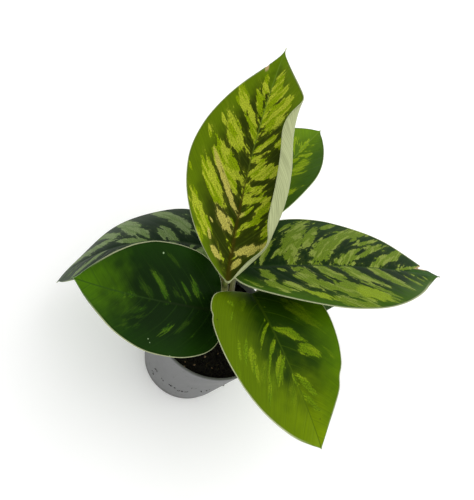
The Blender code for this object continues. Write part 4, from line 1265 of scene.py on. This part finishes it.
def sheath_mesh(path, radii, facing):
    """A thin shell round a path, open towards facing, pointed at its top."""
    count = 14
    along = np.gradient(path, axis=0)
    along /= np.linalg.norm(along, axis=1)[:, None]
    shells = []
    for skin in (0.0, SHEATH_THICKNESS):
        rows = []
        for k, (centre, forward, radius) in enumerate(zip(path, along, radii)):
            share = k / (len(path) - 1)
            front = unit(facing - forward * np.dot(facing, forward))
            side = np.cross(forward, front)
            spread = math.radians(165) * (1 - share ** 3) + 0.1
            for j in range(count):
                turn = -spread + 2 * spread * j / (count - 1)
                flare = 0.35 * abs(2 * j / (count - 1) - 1) ** 4 * (1 - share)
                reach = radius * (1.03 + flare) + skin
                rows.append(centre - reach * math.cos(turn) * front + reach * math.sin(turn) * side)
        shells.append(np.array(rows))
    points = np.concatenate(shells)
    shift = len(shells[0])
    faces = []
    last = len(path) - 1
    for row in range(last):
        for j in range(count - 1):
            a, b = row * count + j, row * count + j + 1
            faces.append((a, b, b + count, a + count))
            faces.append((shift + a, shift + a + count, shift + b + count, shift + b))
        for j in (0, count - 1):
            a = row * count + j
            quad = (a, a + count, shift + a + count, shift + a)
            faces.append(quad if j == 0 else quad[::-1])
    for row, flip in ((0, False), (last, True)):
        for j in range(count - 1):
            a, b = row * count + j, row * count + j + 1
            quad = (a, shift + a, shift + b, b)
            faces.append(quad[::-1] if flip else quad)
    return points, faces


def make_stalk_material():
    material, wires, shader = new_material("stalk_flesh")
    place_on = wires.add("UVMap", uv_map="Way").outputs[0]
    turn, way, _ = wires.split(place_on)
    streak_place = wires.join(wires.math("MULTIPLY", turn, 26.0), wires.math("MULTIPLY", way, 3.0), 0.0)
    streak = wires.noise(streak_place, 1.0, 2.0)
    shade = wires.mix(wires.ramp(way, 0.1, 0.5), color((0.16, 0.11, 0.045)), color((0.1, 0.15, 0.02)))
    shade = wires.mix(wires.ramp(streak, 0.4, 0.7, 0.0, 0.6), shade, color((0.22, 0.2, 0.07)))
    wires.feed(shader.inputs["Base Color"], shade)
    shader.inputs["Roughness"].default_value = 0.45
    wires.feed(shader.inputs["Normal"], wires.bump(streak, 0.2 * MM, 0.5))
    return material


def make_sheath_material():
    material, wires, shader = new_material("sheath_skin")
    where = wires.add("TexCoord").outputs["Object"]
    grain = wires.noise(where, 900.0, 3.0)
    blots = wires.noise(where, 160.0, 2.0)
    shade = wires.mix(wires.ramp(blots, 0.4, 0.65), color((0.3, 0.28, 0.13)), color((0.2, 0.13, 0.06)))
    shade = wires.mix(wires.ramp(grain, 0.3, 0.7, 0.0, 0.5), shade, color((0.42, 0.4, 0.22)))
    wires.feed(shader.inputs["Base Color"], shade)
    shader.inputs["Roughness"].default_value = 0.6
    wires.feed(shader.inputs["Normal"], wires.bump(grain, 0.1 * MM, 0.6))
    return material


STALK_MATERIAL = make_stalk_material()
SHEATH_MATERIAL = make_sheath_material()


for leaf in LEAVES:
    path = stalk_path(leaf)
    way = path_lengths(path)
    radii = stalk_radii(leaf, way)
    points, faces, places = tube_mesh(path, radii, STALK_SIDES)
    dress(make_piece(leaf.name + "_stalk", points, faces, {"Way": places}, None, [STALK_MATERIAL]), leaf.name)
    covered = (way > SOCKET_DEPTH - 1 * MM) & (way < way[-1] * SHEATH_SHARE)
    inward = -socket_place(leaf) if leaf.socket is not None else np.array([0.6, -0.8, 0])
    points, faces = sheath_mesh(path[covered], radii[covered], unit(inward))
    dress(make_piece(leaf.name + "_sheath", points, faces, None, None, [SHEATH_MATERIAL]), leaf.name)
print(len(LEAVES), "stalks with sheaths")

# %% [markdown]
# The crown is the short stem that all the stalks rise from. It is fleshy and
# ringed by the scars of earlier leaves, and brown scales of dry sheath stand
# round it. A turned body with rings, pushed in and out by noise, does this.

# %% Crown
CROWN_RADIUS = 7.8 * MM
CROWN_FOOT = 27 * MM
CROWN_RINGS = 60
CROWN_SIDES = 96
SCAR_SPACING = 3.2 * MM
SCARS = 0.35 * MM
SCALES = 7


def make_crown():
    shape = [(0.0, 0.25), (0.25, 0.62), (0.6, 0.92), (0.85, 1.0), (1.0, 0.93)]
    shares, widths = zip(*shape)
    profile = [(0, CROWN_FOOT)]
    for share in np.linspace(0, 1, CROWN_RINGS):
        z = CROWN_FOOT + share * (CROWN_TOP - CROWN_FOOT)
        ring = SCARS * abs(math.sin(math.pi * z / SCAR_SPACING)) ** 0.5
        profile.append((CROWN_RADIUS * np.interp(share, shares, widths) - SCARS + ring, z))
    edge = profile[-1][0]
    for share in (0.85, 0.65, 0.4, 0.2):
        profile.append((edge * share, CROWN_TOP))
    profile.append((0, CROWN_TOP))
    points, faces = turned_mesh(profile, CROWN_SIDES)
    points = np.array(points)
    for point in points:
        swell = noise.noise(tuple(point * 240)) * 0.35 * MM
        outward = math.hypot(point[0], point[1])
        if outward > 0:
            point[:2] *= 1 + swell / outward
        if point[2] > CROWN_TOP - 1 * MM:
            point[2] += 0.5 * MM * noise.noise(tuple(point * 300)) - 0.3 * MM
    return make_piece("crown_stem", points, faces, None, None, [CROWN_MATERIAL])


def make_scale(k):
    """One dry scale that stands against the crown."""
    rows, columns = 9, 7
    turn = 2 * math.pi * (k + 0.3) / SCALES
    tall = (7 + 3 * ((k * 7) % 5) / 4) * MM
    wide = math.radians(34 + 5 * (k % 3))
    shells = []
    for skin in (0.0, 0.3 * MM):
        rows_of = []
        for i in range(rows):
            share = i / (rows - 1)
            for j in range(columns):
                angle = turn + wide * (2 * j / (columns - 1) - 1) * (1 - share ** 2.5)
                lean = CROWN_RADIUS + 0.1 * MM + skin + 1.2 * MM * share ** 2 * (1 + 0.6 * math.sin(3 * k))
                lean += 0.25 * MM * math.sin(5 * angle + 4 * share + k)
                z = CROWN_TOP - 5 * MM + tall * share
                rows_of.append((lean * math.cos(angle), lean * math.sin(angle), z))
        shells.append(rows_of)
    shift = rows * columns
    faces = []
    for i in range(rows - 1):
        for j in range(columns - 1):
            a = i * columns + j
            faces.append((a, a + columns, a + columns + 1, a + 1))
            faces.append((shift + a, shift + a + 1, shift + a + columns + 1, shift + a + columns))
    border = list(range(columns)) + [i * columns + columns - 1 for i in range(1, rows)]
    border += [(rows - 1) * columns + j for j in range(columns - 2, -1, -1)]
    border += [i * columns for i in range(rows - 2, 0, -1)]
    for a, b in zip(border, border[1:] + border[:1]):
        faces.append((a, b, b + shift, a + shift))
    return np.array(shells).reshape(-1, 3), faces


def join_parts(parts):
    """Many small meshes as one list of points and faces."""
    points, faces, shift = [], [], 0
    for some_points, some_faces in parts:
        points.append(np.asarray(some_points))
        faces += [tuple(k + shift for k in face) for face in some_faces]
        shift += len(some_points)
    return np.concatenate(points), faces


def make_crown_material():
    material, wires, shader = new_material("crown_flesh")
    where = wires.add("TexCoord").outputs["Object"]
    grain = wires.noise(where, 420.0, 4.0)
    shade = wires.mix(wires.ramp(grain, 0.35, 0.65), color((0.12, 0.075, 0.03)), color((0.13, 0.14, 0.04)))
    wires.feed(shader.inputs["Base Color"], shade)
    shader.inputs["Roughness"].default_value = 0.6
    wires.feed(shader.inputs["Normal"], wires.bump(grain, 0.3 * MM, 0.7))
    return material


CROWN_MATERIAL = make_crown_material()
dress(make_crown(), "crown")
points, faces = join_parts([make_scale(k) for k in range(SCALES)])
dress(make_piece("crown_scales", points, faces, None, None, [SHEATH_MATERIAL]), "crown")
print("crown with", SCALES, "scales")

# %% [markdown]
# The pot is a thin turned wall with a rolled lip and a stepped foot. It is
# spun from an outline with soft corners, and its four drain holes are cut
# out. Plastic of this kind is never one flat grey: it has fine moulding
# grain, scuffs, and peat dust that stuck to it while it was wet.

# %% Pot
POT_HEIGHT = 53 * MM
RIM_RADIUS = 30 * MM
BASE_RADIUS = 21.6 * MM
WALL = 0.9 * MM
POT_FLOOR = 1.2 * MM
FOOT_HEIGHT = 5 * MM
FOOT_STEP = 0.4 * MM
LIP_HEIGHT = 2.4 * MM
LIP_STEP = 0.4 * MM
EDGE = 0.3 * MM
POT_SIDES = 192
DRAIN_HOLES = 4
DRAIN_RADIUS = 2.5 * MM
DRAIN_OFFSET = 13 * MM


def outer_radius(z):
    """Radius of the tapered wall at a height, before lip and foot."""
    full = RIM_RADIUS - LIP_STEP
    return BASE_RADIUS + FOOT_STEP + (full - BASE_RADIUS - FOOT_STEP) * z / POT_HEIGHT


def soften(profile, bend):
    """Replace each corner of an outline by three points on a small bend."""
    soft = [profile[0]]
    for before, here, after in zip(profile, profile[1:], profile[2:]):
        here, before, after = (np.array(p, dtype=float) for p in (here, before, after))
        reach = min(bend, np.linalg.norm(before - here) / 2.2, np.linalg.norm(after - here) / 2.2)
        start = here + unit(before - here) * reach
        end = here + unit(after - here) * reach
        for share in (0, 0.5, 1):
            soft.append(tuple((1 - share) ** 2 * start + 2 * share * (1 - share) * here + share ** 2 * end))
    return soft + [profile[-1]]


def make_pot():
    lip = POT_HEIGHT - LIP_HEIGHT
    inner_top = RIM_RADIUS - LIP_STEP - WALL
    inner_floor = outer_radius(POT_FLOOR) - WALL
    profile = [
        (0, 0),
        (BASE_RADIUS - EDGE, 0),
        (BASE_RADIUS, EDGE),
        (outer_radius(FOOT_HEIGHT) - FOOT_STEP, FOOT_HEIGHT - EDGE),
        (outer_radius(FOOT_HEIGHT), FOOT_HEIGHT),
        (outer_radius(lip), lip),
        (outer_radius(lip) + LIP_STEP, lip + EDGE),
        (RIM_RADIUS, POT_HEIGHT - EDGE),
        (RIM_RADIUS - EDGE, POT_HEIGHT),
        (inner_top + EDGE, POT_HEIGHT),
        (inner_top, POT_HEIGHT - EDGE),
        (inner_floor, POT_FLOOR),
        (0, POT_FLOOR),
    ]
    points, faces = turned_mesh(soften(profile, 0.25 * MM), POT_SIDES)
    pot = make_piece("pot_shell", points, faces, None, None, [POT_MATERIAL])
    for k in range(DRAIN_HOLES):
        angle = 2 * math.pi * (k + 0.5) / DRAIN_HOLES
        middle = DRAIN_OFFSET * np.array([math.cos(angle), math.sin(angle), 0])
        ends = [middle - np.array([0, 0, POT_FLOOR]), middle + np.array([0, 0, 2 * POT_FLOOR])]
        points, faces, _ = tube_mesh(ends, [DRAIN_RADIUS] * 2, 32)
        cut_out(pot, make_piece("drain_drill", points, faces))
    pot.data.set_sharp_from_angle(angle=math.radians(50))
    return pot


def cut_out(body, tool):
    modifier = body.modifiers.new("cut", "BOOLEAN")
    modifier.operation = "DIFFERENCE"
    modifier.solver = "EXACT"
    modifier.object = tool
    bpy.context.view_layer.update()
    graph = bpy.context.evaluated_depsgraph_get()
    result = bpy.data.meshes.new_from_object(body.evaluated_get(graph))
    body.modifiers.clear()
    body.data = result
    bpy.data.objects.remove(tool, do_unlink=True)


def make_pot_material():
    material, wires, shader = new_material("pot_grey")
    where = wires.add("TexCoord").outputs["Object"]
    _, _, z = wires.split(where)
    cloud = wires.noise(where, 90.0, 3.0)
    grain = wires.noise(where, 1600.0, 2.0)
    shade = wires.mix(wires.ramp(cloud, 0.3, 0.7), color((0.12, 0.122, 0.122)), color((0.155, 0.157, 0.157)))
    foot = wires.ramp(z, FOOT_HEIGHT - 0.3 * MM, FOOT_HEIGHT, 1.0, 0.0)
    shade = wires.mix(foot, shade, color((0.1, 0.1, 0.096)))
    dots = wires.ramp(wires.noise(where, 420.0, 4.0, 0.7), 0.58, 0.66)
    dust = wires.math("MULTIPLY", dots, wires.ramp(cloud, 0.45, 0.7))
    shade = wires.mix(wires.math("MULTIPLY", dust, 0.7), shade, color((0.03, 0.024, 0.018)))
    wires.feed(shader.inputs["Base Color"], shade)
    wires.feed(shader.inputs["Roughness"], wires.ramp(cloud, 0.3, 0.7, 0.5, 0.66))
    wires.feed(shader.inputs["Normal"], wires.bump(grain, 0.05 * MM, 0.5))
    return material


POT_MATERIAL = make_pot_material()
dress(make_pot(), "pot")
print("pot spun")

# %% [markdown]
# Potting soil is peat: nearly black, crumbly, with fibres, bits of bark and
# a few white grains. A flat lid with a bump map would look painted on, so the
# surface is a fine net pushed up and down, and crumbs lie on it as small
# uneven stones that are joined into one mesh.

# %% Soil
SOIL_HEIGHT = 49 * MM
SOIL_ROUGHNESS = 0.5 * MM
SOIL_WAVES = [
    (9.1, 2.3, 0.0, 0.5),
    (-3.9, 7.3, 1.1, 0.5),
    (11.2, -8.4, 2.0, 0.3),
    (1.3, 21.0, 4.6, 0.25),
]
SOIL_RINGS = 70
SOIL_SIDES = 200
SOIL_AIR = 0.3 * MM
CRUMBS = 1500
FIBRES = 60
GRAINS = [(1.1, -24.8), (5.3, -23.2), (7.1, -16.3), (11.2, -10.7), (12.9, -18.5)]
STRAY_GRAINS = 24
POT_SPECKS = [
    (-109, 20, 5), (-111, 12.5, 3), (-96, 17.3, 3), (-84.5, 18, 4), (-81, 18, 2),
    (-70.5, 16.3, 6), (-66, 17.8, 5), (-59.5, 28, 2), (-51, 24.3, 2), (-44.5, 26.5, 2),
]
STRAY_POT_SPECKS = 22
SOIL_SEED = 7


def soil_surface(x, y):
    """Height of the uneven soil at a place."""
    u, v = x / RIM_RADIUS, y / RIM_RADIUS
    bumps = sum(share * math.sin(a * u + b * v + phase) for a, b, phase, share in SOIL_WAVES)
    fine = noise.fractal((x * 420, y * 420, 0.5), 0.8, 2.0, 4)
    return SOIL_HEIGHT + SOIL_ROUGHNESS * (bumps + 0.8 * fine)


def make_soil():
    foot = POT_FLOOR + SOIL_AIR
    low = outer_radius(foot) - WALL - SOIL_AIR
    high = outer_radius(SOIL_HEIGHT) - WALL - SOIL_AIR
    points = [(0, 0, foot)]
    turns = [2 * math.pi * k / SOIL_SIDES for k in range(SOIL_SIDES)]
    points += [(low * math.cos(t), low * math.sin(t), foot) for t in turns]
    for ring in range(SOIL_RINGS, 0, -1):
        radius = high * ring / SOIL_RINGS
        for turn in turns:
            x, y = radius * math.cos(turn), radius * math.sin(turn)
            points.append((x, y, soil_surface(x, y)))
    points.append((0, 0, soil_surface(0, 0)))
    faces = []
    for k in range(SOIL_SIDES):
        after = (k + 1) % SOIL_SIDES
        faces.append((0, 1 + after, 1 + k))
        for ring in range(SOIL_RINGS):
            a = 1 + ring * SOIL_SIDES
            faces.append((a + k, a + after, a + after + SOIL_SIDES, a + k + SOIL_SIDES))
        last = 1 + SOIL_RINGS * SOIL_SIDES
        faces.append((last + k, last + after, len(points) - 1))
    return make_piece("soil_bed", points, faces, None, None, [SOIL_MATERIAL])


STONE = [
    (0, 0, 1), (0.89, 0, 0.45), (0.28, 0.85, 0.45), (-0.72, 0.53, 0.45),
    (-0.72, -0.53, 0.45), (0.28, -0.85, 0.45), (0.72, 0.53, -0.45),
    (-0.28, 0.85, -0.45), (-0.89, 0, -0.45), (-0.28, -0.85, -0.45),
    (0.72, -0.53, -0.45), (0, 0, -1),
]
STONE_FACES = [
    (0, 1, 2), (0, 2, 3), (0, 3, 4), (0, 4, 5), (0, 5, 1), (1, 6, 2), (2, 7, 3),
    (3, 8, 4), (4, 9, 5), (5, 10, 1), (2, 6, 7), (3, 7, 8), (4, 8, 9), (5, 9, 10),
    (1, 10, 6), (6, 11, 7), (7, 11, 8), (8, 11, 9), (9, 11, 10), (10, 11, 6),
]


def make_stone(random, centre, size, flatness=0.7):
    """A small uneven stone of twelve corners, turned at random."""
    corners = np.array(STONE) * (1 + 0.3 * random.uniform(-1, 1, (12, 1)))
    corners = corners * size * random.uniform(0.7, 1.3, 3)
    turn = np.linalg.qr(random.normal(size=(3, 3)))[0]
    if np.linalg.det(turn) < 0:
        turn[:, 0] *= -1
    corners = corners @ turn.T
    corners[:, 2] *= flatness
    return corners + centre, STONE_FACES


def make_crumbs(random):
    parts = []
    reach = outer_radius(SOIL_HEIGHT) - WALL - SOIL_AIR
    for _ in range(CRUMBS):
        size = 0.25 * MM + 0.9 * MM * random.random() ** 3
        radius = (reach - 1.4 * size) * math.sqrt(random.random())
        turn = random.uniform(0, 2 * math.pi)
        x, y = radius * math.cos(turn), radius * math.sin(turn)
        parts.append(make_stone(random, (x, y, soil_surface(x, y) + 0.2 * size), size))
    return parts


def make_fibres(random):
    parts = []
    reach = outer_radius(SOIL_HEIGHT) - WALL - SOIL_AIR - 4 * MM
    for _ in range(FIBRES):
        radius = reach * math.sqrt(random.random())
        turn = random.uniform(0, 2 * math.pi)
        heading = random.uniform(0, 2 * math.pi)
        length = random.uniform(2, 6) * MM
        path = []
        for share in np.linspace(-0.5, 0.5, 7):
            bent = heading + share * random.uniform(0.5, 1.2)
            x = radius * math.cos(turn) + share * length * math.cos(bent)
            y = radius * math.sin(turn) + share * length * math.sin(bent)
            path.append((x, y, soil_surface(x, y) + 0.15 * MM))
        points, faces, _ = tube_mesh(path, [0.09 * MM] * len(path), 5)
        parts.append((points, faces))
    return parts


def make_grains(random):
    """A few pale grains, some where the photo shows them."""
    parts = []
    reach = outer_radius(SOIL_HEIGHT) - WALL - SOIL_AIR - 1 * MM
    places = [(x * MM, y * MM) for x, y in GRAINS]
    for _ in range(STRAY_GRAINS):
        radius, turn = reach * math.sqrt(random.random()), random.uniform(0, 2 * math.pi)
        places.append((radius * math.cos(turn), radius * math.sin(turn)))
    for x, y in places:
        size = random.uniform(0.35, 0.7) * MM
        parts.append(make_stone(random, (x, y, soil_surface(x, y) + 0.5 * size), size))
    return parts


def make_pot_specks(random):
    """Crumbs of peat that stuck to the outside of the wall, in clusters."""
    clusters = list(POT_SPECKS)
    for _ in range(STRAY_POT_SPECKS):
        clusters.append((random.uniform(-30, 240), random.uniform(7, 46), random.integers(1, 6)))
    parts = []
    for angle, height, count in clusters:
        for _ in range(count):
            turn = math.radians(angle + random.normal(0, 1.8))
            z = (height + random.normal(0, 0.8)) * MM
            size = random.uniform(0.2, 0.52) * MM
            reach = outer_radius(z) - 0.1 * size
            centre = (reach * math.cos(turn), reach * math.sin(turn), z)
            parts.append(make_stone(random, centre, size))
    return parts


def make_soil_material(name, dark, light, scale):
    material, wires, shader = new_material(name)
    where = wires.add("TexCoord").outputs["Object"]
    grain = wires.noise(where, scale, 4.0, 0.65)
    tone = wires.mix(wires.ramp(grain, 0.35, 0.7), color(dark), color(light))
    wires.feed(shader.inputs["Base Color"], tone)
    shader.inputs["Roughness"].default_value = 0.9
    shader.inputs["Specular IOR Level"].default_value = 0.2
    wires.feed(shader.inputs["Normal"], wires.bump(grain, 0.4 * MM, 0.8))
    return material


SOIL_MATERIAL = make_soil_material("peat", (0.002, 0.0015, 0.001), (0.01, 0.007, 0.004), 900.0)
FIBRE_MATERIAL = make_soil_material("peat fibre", (0.05, 0.03, 0.015), (0.12, 0.08, 0.04), 700.0)
GRAIN_MATERIAL = make_soil_material("pale grain", (0.13, 0.075, 0.035), (0.3, 0.21, 0.14), 1500.0)
random = np.random.default_rng(SOIL_SEED)
dress(make_soil(), "soil")
points, faces = join_parts(make_crumbs(random))
dress(make_piece("soil_crumbs", points, faces, None, None, [SOIL_MATERIAL]), "soil")
points, faces = join_parts(make_fibres(random))
dress(make_piece("soil_fibres", points, faces, None, None, [FIBRE_MATERIAL]), "soil")
points, faces = join_parts(make_grains(random))
dress(make_piece("soil_grains", points, faces, None, None, [GRAIN_MATERIAL]), "soil")
points, faces = join_parts(make_pot_specks(random))
dress(make_piece("pot_specks", points, faces, None, None, [SOIL_MATERIAL]), "pot")
print("soil with", CRUMBS, "crumbs,", FIBRES, "fibres and", len(GRAINS) + STRAY_GRAINS, "grains")

# %% [markdown]
# Floor last, so that everything else is already in place.

# %% Floor
floor_material, floor_wires, floor_shader = new_material("paper floor")
floor_shader.inputs["Base Color"].default_value = (0.95, 0.95, 0.95, 1)
floor_shader.inputs["Roughness"].default_value = 0.9
floor_shader.inputs["Emission Color"].default_value = (1, 1, 1, 1)
floor_shader.inputs["Emission Strength"].default_value = FLOOR_GLOW
half = FLOOR_SIZE / 2
floor_mesh = bpy.data.meshes.new("floor")
floor_corners = [(-half, -half, 0), (half, -half, 0), (half, half, 0), (-half, half, 0)]
floor_mesh.from_pydata(floor_corners, [], [(0, 1, 2, 3)])
floor_mesh.materials.append(floor_material)
floor = bpy.data.objects.new("floor", floor_mesh)
bpy.context.scene.collection.objects.link(floor)
